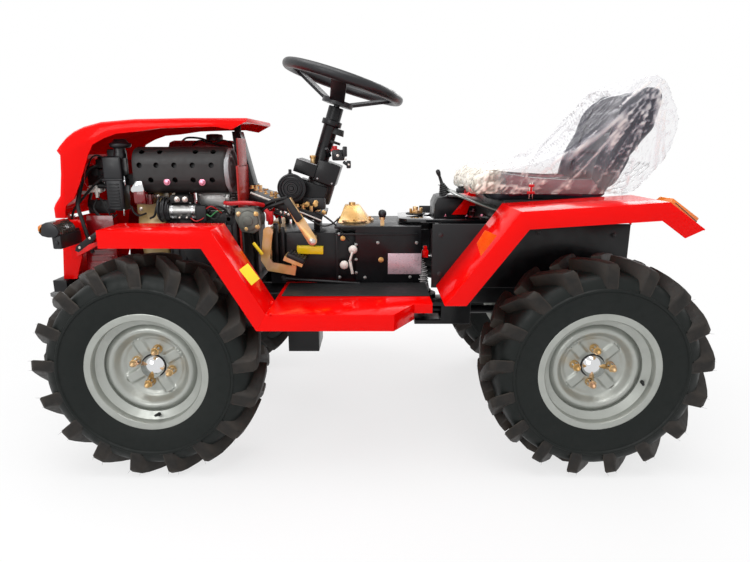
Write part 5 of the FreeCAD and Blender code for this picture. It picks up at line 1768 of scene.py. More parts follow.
    def engine(self) -> None:
        """Dark crankcase, finned alloy cylinder and the rocker cover."""
        case = [block((430, -110, 476), (650, 110, 700), 9.0), block((446, 104, 520), (640, 118, 668), 5.0),
            pin(548, 590, 112, 124, 52, sides=48, round_mm=3.0),
            block((470, -118, 520), (620, -104, 660), 5.0), block((438, 60, 660), (560, 112, 704), 8.0)]
        for x in range(462, 640, 22):
            case.append(block((x, 100, 512), (x + 4, 121, 676), 1.0))
        add_piece("crankcase", case, IRON, replaces=("engine",), sharp=40.0)
        low, high = 704.0, 764.0
        fins = [block((452, -64, 696), (536, 64, high), 4.0)]
        count = int((high - low) / self.fin_pitch)
        for k in range(count + 1):
            z = low + k * self.fin_pitch
            fins.append(block((440, -75, z), (546, 76, z + 3.2), 1.2))
        fins += [block((462, 70, 712), (560, 84, 766), 3.0), block((468, 82, 718), (552, 87, 760), 2.0)]
        fins += [pin(x, z, 84, 90, 5.0, sides=6)
            for x, z in ((472, 722), (548, 722), (472, 757), (548, 757))]
        add_piece("cylinder_fins", fins, CAST, sharp=40.0)
        cover = [block((444, -74, 764), (542, 35, 824), 10.0), block((452, -64, 820), (534, 26, 830), 5.0)]
        cover += [rod((x, y, 826), (x, y, 833), 6, sides=6) for x in (462, 524) for y in (-52, 12)]
        add_piece("rocker_cover", cover, CAST, sharp=40.0)
        bracket = [block((449, 96, 672), (463, 104, 764), 2.0), block((452, 60, 748), (460, 100, 758), 1.5)]
        bracket += [pin(456, z, 103, 112, 7.5, sides=20, round_mm=1.0) for z in (684, 700, 748)]
        bracket.append(pin(456, 722, 103, 109, 4.5, sides=16))
        add_piece("engine_bracket", bracket, BRUSHED)

    def shroud(self) -> None:
        """Tan fan housing with a rolled rim, a flat side boss and its screws, and a dark grille in front."""
        shell = [(650, 20), (650, 120), (652, 126), (656, 129), (700, 129), (724, 127), (738, 118),
            (745, 104), (746, 92), (744, 88), (738, 88), (734, 98), (728, 108), (716, 118), (664, 121),
            (660, 20), (650, 20)]
        forms = [spun([(a - 650, r) for a, r in shell], (650, 0, 640), (1, 0, 0), 84),
            plate([(655, 700), (742, 700), (742, 752), (724, 770), (668, 772), (655, 760)], 58, 112, 6.0),
            block((652, -70, 476), (744, 70, 560), 5.0)]
        add_piece("fan_housing", forms, TAN, replaces=("fan_shroud",), sharp=40.0)
        grille = [spun([(0, r), (3, r), (3, r + 3), (0, r + 3), (0, r)], (738, 0, 640), (1, 0, 0), 48)
            for r in range(10, 88, 8)]
        for k in range(8):
            turn = math.tau * k / 8
            out = Vector((0, math.cos(turn), math.sin(turn)))
            grille.append(rod(Vector((737, 0, 640)) + out * 8, Vector((737, 0, 640)) + out * 90, 2.2,
                sides=8))
        grille.append(rod((700, 0, 640), (739, 0, 640), 86, sides=48))
        add_piece("fan_grille", grille, SOFT_BLACK, sharp=45.0)
        screws = [bolt((x, 112, z), 9, 4) for x, z in ((672, 716), (728, 716), (672, 756), (720, 756))]
        add_piece("fan_housing_screws", screws, WHITE_ZINC)

    def starter(self) -> None:
        """Starter with its bands, its solenoid bracket and its terminals."""
        y, z = 142.0, 713.0
        barrel = [(0, 0.01), (0, 22), (2, 24), (80, 24), (82, 22), (82, 0.01)]
        add_piece("starter_barrel", spun(barrel, (540, y, z), (1, 0, 0), 56), BRUSHED,
            replaces=("starter_motor",), sharp=40.0)
        black = [spun([(0, 0.01), (0, 20), (3, 24.5), (10, 25), (11, 0.01)], (530, y, z), (1, 0, 0), 48),
            block((560, 118, 738), (617, 160, 762), 3.0), block((556, 150, 690), (600, 164, 702), 2.0),
            rod((566, 128, 752), (610, 128, 752), 15, sides=32, round_mm=2.0),
            block((562, 110, 655), (598, 142, 692), 3.0), block((507, 140, 684), (538, 170, 732), 3.0),
            rod((500, 154, 716), (512, 154, 716), 7, sides=16),
            rod((500, 154, 698), (512, 154, 698), 6, sides=16)]
        add_piece("starter_solenoid", black, SOFT_BLACK)
        rings = []
        for x, radius in ((626, 34), (634, 38), (642, 33), (649, 40)):
            rings.append(spun([(0, radius - 6), (0, radius), (2.5, radius + 1), (5, radius),
                (5, radius - 6), (0, radius - 6)], (x, y - 4, z + 6), (1, 0, 0), 56))
        rings.append(rod((622, y, z), (654, y, z), 27, 31, sides=48, round_mm=2.0))
        add_piece("starter_nose", rings, IRON, sharp=40.0)
        bolts = [bolt((x, 160, 750), 13, 6) for x in (595, 571)]
        bolts += [pin(x, 696, 164, 172, 3.2, sides=10) for x in (566, 588)]
        add_piece("starter_bolts", bolts, WHITE_ZINC)
        band = [spun([(0, 24), (0, 25.2), (5, 25.2), (5, 24), (0, 24)], (x, y, z), (1, 0, 0), 48)
            for x in (548, 610)]
        add_piece("starter_bands", band, STEEL)

    def regulator(self) -> None:
        """Bright wedge-shaped cover over the dark red regulator, beside the air cleaner."""
        wedge = plate([(683, 774), (722, 774), (722, 786), (706, 806), (688, 806)], 150, 180, 2.0)
        add_piece("regulator_cover", wedge, CHROME)
        add_piece("regulator_block", [block((684, 150, 740), (718, 178, 775), 3.0),
            block((676, 100, 734), (724, 152, 764), 2.0)], TANK)
        add_piece("regulator_bolt", bolt((728, 150, 778), 12, 6, axis=(0, 1, 0.2)), WHITE_ZINC)

    def side_casting(self) -> None:
        """Grey casting behind the engine with its bolts, the red hose over it and the coupler beside it."""
        body = [pin(378, 688, 96, 186, 37, 31, sides=40, round_mm=6.0),
            plate([(417, 727), (366, 732), (342, 712), (339, 664), (364, 648), (402, 654), (419, 694)],
            166, 180, 5.0), pin(378, 688, 180, 190, 15, sides=32, round_mm=2.0)]
        add_piece("side_casting", body, BARE_IRON, sharp=40.0)
        bolts = [bolt((x, 180, z), 12, 6) for x, z in ((354, 708), (384, 664), (406, 708), (352, 670))]
        add_piece("side_casting_bolts", bolts, ZINC)
        add_piece("fuel_return_hose",
            [wire_run([(448, 172, 741), (430, 180, 740), (395, 184, 742), (360, 178, 740),
            (336, 150, 732)], 6.5), wire_run([(330, 150, 718), (322, 152, 706), (314, 152, 690),
            (318, 146, 674)], 7.0), block((308, 138, 682), (330, 154, 713), 3.0)], WIRE_RED)

    def tank(self) -> None:
        """Dark red fuel tank with its seam, its filler and the black lines and wires behind it."""
        low, high = (455, -170, 837), (678, -12, 925)
        shell = [block(low, high, 20.0), block((449, -176, 878), (684, -6, 883), 1.5)]
        legs = [block((x, -108, 700), (x + 14, -88, 846), 2.0) for x in (475, 625)]
        add_piece("fuel_tank_shell", shell + legs, TANK, replaces=("fuel_tank",), sharp=40.0)
        cap = [(924, 0.01), (924, 20), (926, 28), (940, 28), (945, 25), (947, 12), (947, 0.01)]
        add_piece("fuel_cap", spun(cap, (540, -90, 0), (0, 0, 1), 36), PLASTIC, sharp=40.0)
        add_piece("fuel_lines", [wire_run([(640, -60, 924), (610, -30, 934), (560, -20, 930), (510, 0, 912),
            (470, 20, 905), (452, 40, 880)], 3.2),
            wire_run([(600, -20, 905), (560, 10, 925), (520, 20, 915), (480, 10, 925), (440, -20, 900),
            (420, -40, 850)], 2.4), wire_run([(462, -50, 915), (440, -20, 935), (420, 0, 920),
            (412, 16, 880)], 2.0)], SOFT_BLACK)

    def wiring(self) -> None:
        """Loom along the engine, with its green and red leads at the starter."""
        add_piece("engine_loom",
            [wire_run([(505, 150, 716), (480, 150, 728), (462, 140, 720), (445, 130, 700),
            (430, 120, 720)], 3.2), wire_run([(505, 156, 700), (486, 158, 690), (470, 150, 704),
            (455, 136, 716)], 2.6), wire_run([(640, 150, 742), (660, 152, 730), (672, 150, 700),
            (690, 140, 690)], 3.4), wire_run([(700, 140, 706), (720, 150, 700), (735, 150, 712),
            (740, 146, 728)], 3.0)], SOFT_BLACK)
        add_piece("green_lead", wire_run([(508, 165, 706), (494, 168, 700), (480, 164, 712),
            (466, 150, 716)], 1.7), WIRE_GREEN)
        add_piece("red_leads",
            [wire_run([(508, 166, 722), (492, 168, 730), (478, 162, 722), (466, 150, 708)], 1.7),
            wire_run([(556, 166, 694), (540, 172, 686), (524, 172, 690), (510, 166, 700)], 1.5)], WIRE_RED)


@dataclass
class Nose:
    """Front end under the hood: turn lamps, relays, connectors and the loom.

    Sizes are in millimetres.
    """

    lamp_in: float = 210.0
    lamp_out: float = 302.0

    def build(self) -> None:
        """Makes the lamps, the electrics and the inner guard."""
        self.lamps()
        self.electrics()
        self.guard()

    def lamps(self) -> None:
        """Turn lamps: smoked lens with an amber end, over a black block."""
        section = [(887, 662), (884, 674), (890, 686), (904, 697), (916, 700), (930, 694), (941, 682),
            (943, 670), (934, 660), (918, 656), (900, 656)]
        lens = plate(section, self.lamp_in, self.lamp_out - 9, 4.0)
        ribs = [plate([(x - 1, z - 1) for x, z in section], y, y + 1.4, 0.3) for y in range(218, 290, 8)]
        add_piece("front_lamp_lenses", both_sides([lens, *ribs]), SMOKED, replaces=("front_lamps",),
            sharp=40.0)
        tip = plate([(932, 664), (938, 668), (944, 676), (942, 688), (934, 694), (928, 690)], 262,
            self.lamp_out, 3.0)
        add_piece("front_lamp_tips", both_sides(tip), AMBER, sharp=40.0)
        housing = [plate(section, self.lamp_out - 9, self.lamp_out, 3.5),
            block((885, 184, 622), (911, 296, 661), 4.0), block((890, 180, 636), (906, 214, 668), 3.0),
            pin(898, 640, 296, 300, 6, sides=16)]
        add_piece("front_lamp_housings", both_sides(housing), PLASTIC, sharp=40.0)

    def electrics(self) -> None:
        """Relays on their plate, a white connector, coils of wire and the loom down the left side."""
        relays = [block((760, 92, 770), (806, 134, 898), 5.0), block((764, 134, 800), (802, 138, 870), 2.0),
            block((816, 92, 812), (846, 122, 838), 3.0), block((820, 96, 842), (850, 120, 868), 3.0),
            block((790, 84, 806), (856, 92, 876), 2.0), pin(812, 826, 118, 128, 9, sides=20),
            block((826, 70, 700), (900, 100, 742), 4.0), block((846, 60, 780), (900, 84, 846), 5.0),
            pin(858, 830, 84, 112, 13, sides=24, round_mm=2.0),
            rod((830, 110, 786), (858, 118, 790), 8, sides=20)]
        add_piece("relays", relays, SOFT_BLACK)
        pale = [block((842, 108, 768), (884, 124, 780), 1.5), block((884, 106, 762), (912, 120, 772), 1.5),
            block((850, 116, 752), (858, 126, 790), 1.0), block((862, 112, 776), (880, 122, 788), 1.0)]
        add_piece("connectors", pale, PALE)
        bracket = [plate([(836, 806), (842, 806), (846, 776), (870, 762), (868, 757), (838, 772)], 100, 103,
            0.6), pin(840, 786, 103, 112, 4.0, sides=6), pin(866, 764, 103, 111, 4.0, sides=6),
            pin(806, 864, 92, 98, 4.0, sides=6), pin(842, 806, 92, 98, 4.0, sides=6)]
        add_piece("electrics_bracket", bracket, BRUSHED)
        loom = [wire_run([(846, 116, 850), (870, 124, 836), (892, 130, 800), (896, 150, 760),
            (892, 172, 730), (880, 180, 690), (868, 184, 640), (860, 180, 590)], 6.0),
            wire_run([(830, 118, 812), (850, 130, 796), (876, 134, 770), (900, 140, 742), (918, 150, 716),
            (926, 150, 690), (915, 176, 668), (900, 190, 652)], 3.6),
            wire_run([(858, 120, 748), (866, 130, 722), (850, 134, 700), (828, 130, 690), (810, 124, 700)],
            2.6), wire_run([(858, 118, 760), (836, 128, 740), (824, 132, 712), (812, 128, 692),
            (800, 120, 700)], 2.4), wire_run([(812, 120, 860), (832, 132, 880), (852, 134, 872),
            (870, 126, 846)], 2.4), wire_run([(790, 110, 830), (806, 128, 846), (822, 132, 832),
            (836, 126, 816)], 2.2), wire_run([(905, 60, 760), (900, 90, 730), (884, 110, 715),
            (862, 120, 700), (840, 118, 660)], 5.0)]
        add_piece("front_loom", loom, SOFT_BLACK)
        add_piece("front_red_leads",
            [wire_run([(846, 118, 846), (864, 130, 858), (876, 132, 838), (884, 130, 800),
            (872, 126, 776)], 1.6), wire_run([(926, 150, 716), (934, 152, 704), (928, 150, 690),
            (916, 150, 700)], 1.6)], WIRE_RED)

    def guard(self) -> None:
        """Splash guards behind the front panel, their dark red a painted shade, and the black strap in front
        of the wheel.
        """
        # Painted shade: the guards stand for the front panel's red inner side in shadow, so they take the
        # darker tank red.
        guard = [plate([(800, 520), (898, 520), (892, 640), (880, 700), (800, 700)], 150, 153, 0.8),
            plate([(800, 500), (930, 500), (930, 520), (800, 520)], 60, 153, 0.8)]
        for k in range(5):
            guard.append(block((806, 153, 530 + 20 * k), (884, 156, 538 + 20 * k), 1.2))
        add_piece("splash_guards", both_sides(guard), TANK)
        # Painted shade: the liner is red sheet on the far inner side, darkened because it lies in shadow.
        liner = [plate([(790, 690), (952, 690), (958, 790), (930, 860), (790, 860)], -156, -153, 0.6)]
        add_piece("nose_liner", liner, RED_IN_PAINTED_SHADE)
        strap = [plate([(848, 618), (842, 632), (778, 676), (770, 672), (790, 648), (838, 614)], 296, 299,
            0.8), plate([(800, 654), (806, 660), (812, 640), (806, 636)], 250, 296, 0.8)]
        add_piece("fender_straps", both_sides(strap), BLACK)
        clips = [pin(800, 655, 299, 302, 4, sides=6), pin(832, 628, 299, 302, 4, sides=6)]
        add_piece("fender_strap_screws", both_sides(clips), WHITE_ZINC)


@dataclass
class Column:
    """Steering column with its switch box, horn, hand throttle and the inclined plate that carries them.

    Sizes are in millimetres.
    """

    foot: Point = (188.0, 0.0, 738.0)
    top: Point = (92.0, 0.0, 1030.0)
    horn_centre: Point = (256.0, 98.0, 779.0)
    drum_centre: Point = (196.0, 52.0, 768.0)

    def build(self) -> None:
        """Makes the pieces above the inclined plate."""
        self.horn()
        self.steering_unit()
        self.switch_cover()
        self.throttle()
        self.plate_fittings()
        self.cables()

    def along(self, share: float) -> Vector:
        """Point on the column's axis, 0 at its foot and 1 at its top."""
        return Vector(self.foot).lerp(Vector(self.top), share)

    def horn(self) -> None:
        """Round horn with its spiral face, its rim and its bracket."""
        rings = [(-14, 0.01), (-14, 38), (-6, 44), (0, 45), (4, 44), (5, 41), (1, 39), (1, 36), (5, 35),
            (6, 33), (2, 31), (2, 28), (7, 27), (7, 25), (3, 23), (3, 20), (8, 18), (8, 14), (4, 12),
            (4, 8), (9, 6), (9, 0.01)]
        add_piece("horn_face", spun(rings, self.horn_centre, (0, 1, 0), 72), PLASTIC, replaces=("horn",),
            sharp=50.0)
        x, y, z = self.horn_centre
        bracket = [pin(x, z, y - 20, y - 52, 16, sides=32, round_mm=2.0),
            block((x - 34, y - 48, z - 10), (x + 8, y - 42, z + 10), 1.5), rod((x + 4, y - 6, z + 42),
            (x + 4, y - 6, z + 58), 5, sides=16, round_mm=1.5),
            block((x - 4, y - 16, z + 34), (x + 12, y - 2, z + 46), 2.0)]
        add_piece("horn_bracket", bracket, SOFT_BLACK)

    def steering_unit(self) -> None:
        """Black steering unit round the column's foot, with its ports and clamp."""
        x, y, z = self.drum_centre
        lean = (Vector(self.top) - Vector(self.foot)).normalized()
        foot = self.along(0.0) - lean * 8
        forms = [rod(foot, foot + lean * 66, 45, sides=56, round_mm=5.0), rod(foot + lean * 66, foot
            + lean * 84, 36, 30, sides=48, round_mm=3.0), rod(foot + lean * 84, foot + lean * 100, 27,
            sides=40, round_mm=2.0), block((x - 40, y - 30, z - 60), (x + 34, y + 6, z - 22), 5.0)]
        for k in range(4):
            turn = math.radians(45 + 90 * k)
            side = lean.orthogonal().normalized()
            off = side * math.cos(turn) * 38 + lean.cross(side) * math.sin(turn) * 38
            forms.append(rod(foot + off + lean * 60, foot + off + lean * 72, 6, sides=6))
        add_piece("steering_unit", forms, IRON, sharp=40.0)
        clamp = [rod(self.along(0.36) - lean * 5, self.along(0.36) + lean * 5, 31, sides=48, round_mm=1.5)]
        clamp += [rod(self.along(0.62) - lean * 4, self.along(0.62) + lean * 4, 22, sides=40, round_mm=1.0),
            rod(self.along(0.7), self.along(0.7) + lean * 20, 25, 21, sides=40, round_mm=1.5)]
        add_piece("column_collars", clamp, SOFT_BLACK, sharp=40.0)
        ports = [pin(x - 10 + 26 * k, z - 42, y + 4, y + 24, 9, sides=6) for k in range(2)]
        ports += [bolt((px, 64, pz), 12, 6) for px, pz in ((185, 731), (160, 699), (222, 722))]
        add_piece("steering_ports", ports, ZINC, sharp=40.0)

    def switch_cover(self) -> None:
        """Stepped two-part cover over the dash switches, with the key switch and a pale strip on its top
        edge as a painted highlight.
        """
        turn = turned_about((171, 0, 830), (0, 1, 0), -19)
        forms = [moved(block((181, -62, 803), (252, 60, 845), 3.0), turn),
            moved(block((111, -62, 797), (181, 66, 865), 3.0), turn)]
        add_piece("switch_cover", forms, BLACK, replaces=("switch_box",), sharp=40.0)
        # Painted highlight: a thin silver strip along the cover's top edge, with two small round pins.
        seam = [moved(block((184, 57, 843.5), (250, 60.6, 845.8), 0.5), turn),
            moved(pin(122, 806, 64, 68, 3.0, sides=12), turn),
            moved(pin(170, 806, 64, 68, 3.0, sides=12), turn)]
        add_piece("switch_cover_highlight_and_pins", seam, HEAT_SILVER)
        key = [rod((194, 34, 846), (194, 36, 872), 8, sides=24, round_mm=1.5),
            rod((194, 36, 870), (194, 37, 878), 10, sides=24, round_mm=1.0)]
        add_piece("key_switch", key, ZINC)

    def throttle(self) -> None:
        """Hand throttle and light switch on the column, with its red button."""
        forms = [block((92, 18, 862), (132, 48, 896), 5.0), pin(112, 878, 20, 58, 14, sides=32, round_mm=3),
            block((84, 30, 874), (98, 52, 906), 3.0), rod((140, 24, 876), (150, 44, 900), 6, sides=20),
            rod((96, 40, 858), (78, 44, 846), 5.0, sides=16), block((72, 38, 838), (86, 50, 862), 3.0)]
        add_piece("throttle_body", forms, PLASTIC, sharp=40.0)
        add_piece("throttle_button", [rod((123, 36, 896), (123, 36, 908), 8, sides=24, round_mm=2.0),
            block((108, 28, 890), (136, 44, 898), 2.5)], WIRE_RED)
        clamps = [pin(88, 866, 53, 60, 4, sides=6), pin(112, 878, 58, 64, 5, sides=6),
            pin(78, 850, 50, 55, 3.5, sides=6)]
        add_piece("throttle_screws", clamps, WHITE_ZINC)

    def plate_fittings(self) -> None:
        """Zinc bits, springs and nuts along the inclined plate, and pale rods on its rear edge as a painted
        highlight.
        """
        forms = []
        line = (Vector((388, 88, 778)), Vector((166, 88, 686)))
        for k, share in enumerate((0.03, 0.09, 0.15, 0.22, 0.3, 0.36, 0.66, 0.74, 0.86, 0.95)):
            at = line[0].lerp(line[1], share)
            tall = 8 + 6 * (k % 3)
            forms.append(rod(at + Vector((0, 0, 4)), at + Vector((0, 0, 4 + tall)), 5.5 - (k % 2), sides=6))
            forms.append(rod(at + Vector((0, 0, 2)), at + Vector((0, 0, 5)), 8.5, sides=20))
            if k % 2:
                forms.append(rod(at + Vector((8, -8, 14)), at + Vector((-8, 4, 18)), 2.6, sides=10))
        add_piece("plate_nuts", forms, ZINC, sharp=40.0)
        # Painted highlight: thin pale rods along the plate's rear edge.
        edge = [rod((384, 104, 766), (306, 104, 735), 3.2, sides=10),
            rod((262, 104, 718), (164, 104, 678), 2.4, sides=10)]
        add_piece("plate_edge_highlight", edge, PALE)
        under = [block((322, 60, 712), (352, 96, 742), 3.0), block((286, 70, 694), (312, 98, 724), 3.0),
            rod((352, 96, 716), (276, 98, 690), 4.0, sides=10), block((246, 60, 680), (276, 92, 704), 3.0),
            rod((330, 88, 700), (330, 96, 664), 6.0, sides=12),
            rod((300, 84, 690), (296, 94, 668), 5.0, sides=12)]
        add_piece("plate_valves", under, IRON, sharp=40.0)
        bits = [bolt((x, 98, z), 9, 4, washer=False) for x, z in ((344, 734), (330, 722), (340, 714),
            (304, 716), (292, 704), (268, 697), (254, 690))]
        add_piece("plate_valve_nuts", bits, WHITE_ZINC)

    def cables(self) -> None:
        """Black cables that loop from the plate down past the gear case."""
        forms = [wire_run([(262, 112, 742), (300, 116, 732), (340, 112, 716), (364, 104, 692),
            (372, 100, 640), (370, 100, 596)], 7.0),
            wire_run([(270, 108, 750), (312, 118, 742), (352, 118, 722), (382, 108, 690), (388, 104, 640),
            (378, 100, 580)], 5.5), wire_run([(180, 104, 706), (150, 108, 690), (118, 112, 664),
            (92, 118, 636), (72, 120, 616)], 3.0),
            wire_run([(232, 106, 700), (190, 108, 676), (160, 110, 662), (132, 112, 668), (104, 112, 690)],
            2.4)]
        add_piece("control_cables", forms, SOFT_BLACK)


@dataclass
class Controls:
    """Pedals, hand lever, gear knobs and what is fastened to the gear case.

    Sizes are in millimetres.
    """

    case_side: float = 130.0

    def build(self) -> None:
        """Makes the controls and the gear case's fittings."""
        self.lever()
        self.pedal_pads()
        self.knobs()
        self.case_fittings()
        self.dome()
        self.shield()

    def lever(self) -> None:
        """Black grip on the hand lever, and the bolt at its foot."""
        _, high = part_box("hand_lever")
        outer = high[1] / MM
        grip = plate([(271, 746), (254, 758), (249, 755), (213, 696), (227, 683), (232, 685)], outer - 14,
            outer + 4, 5.0)
        add_piece("lever_grip", grip, SOFT_BLACK, sharp=40.0)
        add_piece("lever_bolt", bolt((186, outer - 2, 625), 15, 6), WHITE_ZINC)

    def pedal_pads(self) -> None:
        """Ribbed rubber pads on the two foot pedals, with the zinc bracket above them."""
        turn = turned_about((238, 0, 568), (0, 1, 0), -24)
        pad = [block((211, 170, 571), (267, 216, 586), 4.0)]
        pad += [block((213 + 9 * k, 171, 585), (218 + 9 * k, 215, 590), 1.2) for k in range(6)]
        made = moved(gathered(pad), turn)
        add_piece("pedal_pads", both_sides(made), SOFT_BLACK)
        strip = plate([(345, 642), (318, 642), (320, 556), (338, 551)], 134, 138, 1.0)
        boss = [pin(331, 626, 132, 144, 11, sides=32, round_mm=1.5), pin(331, 626, 144, 148, 5, sides=6)]
        add_piece("pedal_brackets", both_sides([strip, *boss]), ZINC)
        posts = [block((300, 110, 548), (314, 128, 672), 2.5), block((280, 112, 540), (292, 126, 660), 2.5),
            pin(307, 656, 128, 134, 5, sides=6)]
        add_piece("case_posts", both_sides(posts), BLACK)

    def knobs(self) -> None:
        """White control knobs on the gear case, with their rods, and the black knob on its post."""
        forms = []
        for x, z in ((64, 592), (92, 543)):
            forms.append(spun([(0, 0.01), (0, 10), (3, 13), (10, 14), (15, 12), (18, 7), (19, 0.01)],
                (x, 132, z), (0, 1, 0), 32))
        forms.append(rod((74, 148, 560), (66, 150, 516), 4.5, sides=16))
        forms.append(rod((64, 146, 592), (74, 150, 556), 3.6, sides=16))
        add_piece("gear_knobs", forms, PALE, sharp=50.0)
        tip = spun([(0, 0.01), (0, 6), (4, 10), (12, 13), (20, 12), (25, 8), (27, 0.01)], (-28, 117, 688),
            (0, 0, 1), 32)
        add_piece("range_knob_grip", tip, PLASTIC, sharp=60.0)

    def case_fittings(self) -> None:
        """Bolts, blank labels, edge strip and the long bar on the gear case's side."""
        side = self.case_side
        places = ((55, 606), (55, 558), (55, 515), (27, 499), (-117, 501), (-14, 612), (-136, 612),
            (108, 640), (108, 500))
        heads = [bolt((x, side, z), 8, 4) for x, z in places]
        add_piece("gear_case_bolts", both_sides(heads), BRUSHED)
        add_piece("gear_case_brass",
            both_sides([bolt((-24, side, 557), 13, 6), bolt((96, side, 626), 12, 6)]), ZINC)
        strips = [block((-140, side, 636), (121, side + 4, 642), 1.2),
            block((112, side, 482), (118, side + 4, 640), 1.2)]
        add_piece("gear_case_strips", both_sides(strips), BLACK)
        bar = [rod((286, side + 12, 499), (43, side + 12, 482), 5.5, sides=16),
            pin(286, 500, side, side + 16, 8)]
        add_piece("brake_bars", both_sides(bar), BLACK)
        add_piece("blank_plate", both_sides(plate([(-46, 578), (-46, 511), (-152, 511), (-152, 578)], side,
            side + 1.2, 0.3)), LABEL)
        add_piece("yellow_sleeve", rod((362, 200, 624), (336, 200, 588), 5.0, sides=16, round_mm=1.0),
            YELLOW)
        add_piece("yellow_case_label", plate([(241, 601), (241, 577), (159, 575), (159, 599)], 112, 131,
            0.4), YELLOW)

    def dome(self) -> None:
        """Zinc collar and bolts under the gear dome."""
        rim = [spun([(-3, 54), (-3, 62), (0, 63), (3, 62), (4, 55), (-3, 54)], (62, 0, 668), (0, 0, 1), 48)]
        rim += [bolt((62 + 58 * math.cos(t), 58 * math.sin(t), 670), 9, 5, axis=(0, 0, 1))
            for t in (math.tau * (k + 0.5) / 6 for k in range(6))]
        add_piece("dome_collar", rim, ZINC, sharp=40.0)

    def shield(self) -> None:
        """Black insulating mat on the back of the firewall, and the sheet that closes it above, in red
        darkened with painted shade.
        """
        add_piece("firewall_mat", block((397, -160, 478), (403.5, 164, 652), 2.0), SOFT_BLACK)
        # Painted shade: the sheet above the firewall is red darkened because it lies in shadow.
        add_piece("firewall_top", block((404, 44, 846), (408, 150, 930), 1.0), RED_IN_PAINTED_SHADE)


@dataclass
class Pivot:
    """What fills the gap between the two frames: hoses, their sleeve, the pin stack and small fittings.

    Sizes are in millimetres.
    """

    seam_front: float = -120.0
    seam_rear: float = -240.0

    def build(self) -> None:
        """Makes the pivot's fittings and the hoses that cross it."""
        self.hoses()
        self.pin_stack()
        self.fittings()

    def crossing(self, name: str, forms: Iterable[Form], finish: Finish) -> None:
        """Adds a piece that neither frame carries, its place baked into its mesh.

        Args:
            name: The piece's name.
            forms: Its forms.
            finish: Its surface.
        """
        piece = add_piece(name, forms, finish, "", sharp=60.0)
        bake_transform(piece)

    def hoses(self) -> None:
        """Five hoses, a corrugated sleeve and a red connector, from front to rear."""
        forms = []
        for k in range(5):
            z, y = 566 - 13 * k, 66 + 9 * (k % 2)
            forms.append(hose([(-102, y - 14, z), (-138, y, z - 4), (-168, y + 6, z - 14),
                (-202, y - 8, z - 26), (-244, y - 22, z - 34), (-276, y - 28, z - 34)], 10.5 - (k % 3),
                sides=14))
        self.crossing("pivot_hoses", forms, SOFT_BLACK)
        path = smooth_run([(-134, 98, 566), (-148, 108, 544), (-156, 112, 512), (-156, 112, 478),
            (-160, 96, 448)])
        sleeve = []
        for k, (a, b) in enumerate(zip(path, path[1:])):
            wide = 13.0 + 9.0 * k / len(path)
            sleeve.append(rod(a, a.lerp(b, 0.55), wide + 2.5 * (k % 2), sides=20, round_mm=1.2))
            sleeve.append(rod(a.lerp(b, 0.5), b, wide - 4.0, sides=20, round_mm=0))
        self.crossing("pivot_sleeve", sleeve, CLEAR_GREY)
        plug = [block((-176, 92, 560), (-156, 112, 584), 2.5),
            block((-172, 90, 584), (-160, 108, 596), 2.0)]
        self.crossing("pivot_connector", plug, RED)

    def pin_stack(self) -> None:
        """Zinc pin with nuts on the top plate, over its black washer."""
        x = -140.0
        forms = [rod((x, 0, 690), (x, 0, 712), 9, sides=24, round_mm=1.5),
            rod((x, 0, 690), (x, 0, 698), 15, sides=6),
            rod((x + 16, 6, 690), (x + 16, 6, 706), 5, sides=6),
            rod((x - 18, 4, 690), (x - 18, 4, 708), 6, sides=6),
            rod((x - 4, 18, 690), (x - 4, 18, 702), 6, sides=6)]
        add_piece("pivot_pin_nuts", forms, ZINC, sharp=40.0)
        add_piece("pivot_pin_washer", rod((x, 0, 686), (x, 0, 690.5), 32, sides=48, round_mm=1.0),
            SOFT_BLACK)
        heads = [bolt((px, py, 688), 12, 6, axis=(0, 0, 1)) for px in (-232, -300, -350)
            for py in (-70, 70)]
        add_piece("top_plate_bolts", heads, ROSE_ZINC, "rear_frame")

    def fittings(self) -> None:
        """Connectors and brackets between the two frames."""
        red = [block((-118, 74, 566), (-104, 96, 590), 2.5), block((-112, 66, 546), (-100, 84, 560), 2.0)]
        forward = [block((-122, 30, 590), (-100, 74, 640), 4.0),
            rod((-104, 60, 600), (-128, 66, 596), 10, sides=6),
            block((-124, 20, 500), (-102, 70, 545), 3.0)]
        add_piece("pivot_connectors", red, WIRE_RED)
        add_piece("pivot_blocks", forward, IRON)
        heads = [bolt((-112, 74, z), 10, 5) for z in (612, 632)]
        heads.append(bolt((-113, 70, 522), 10, 5))
        add_piece("pivot_block_bolts", heads, WHITE_ZINC)


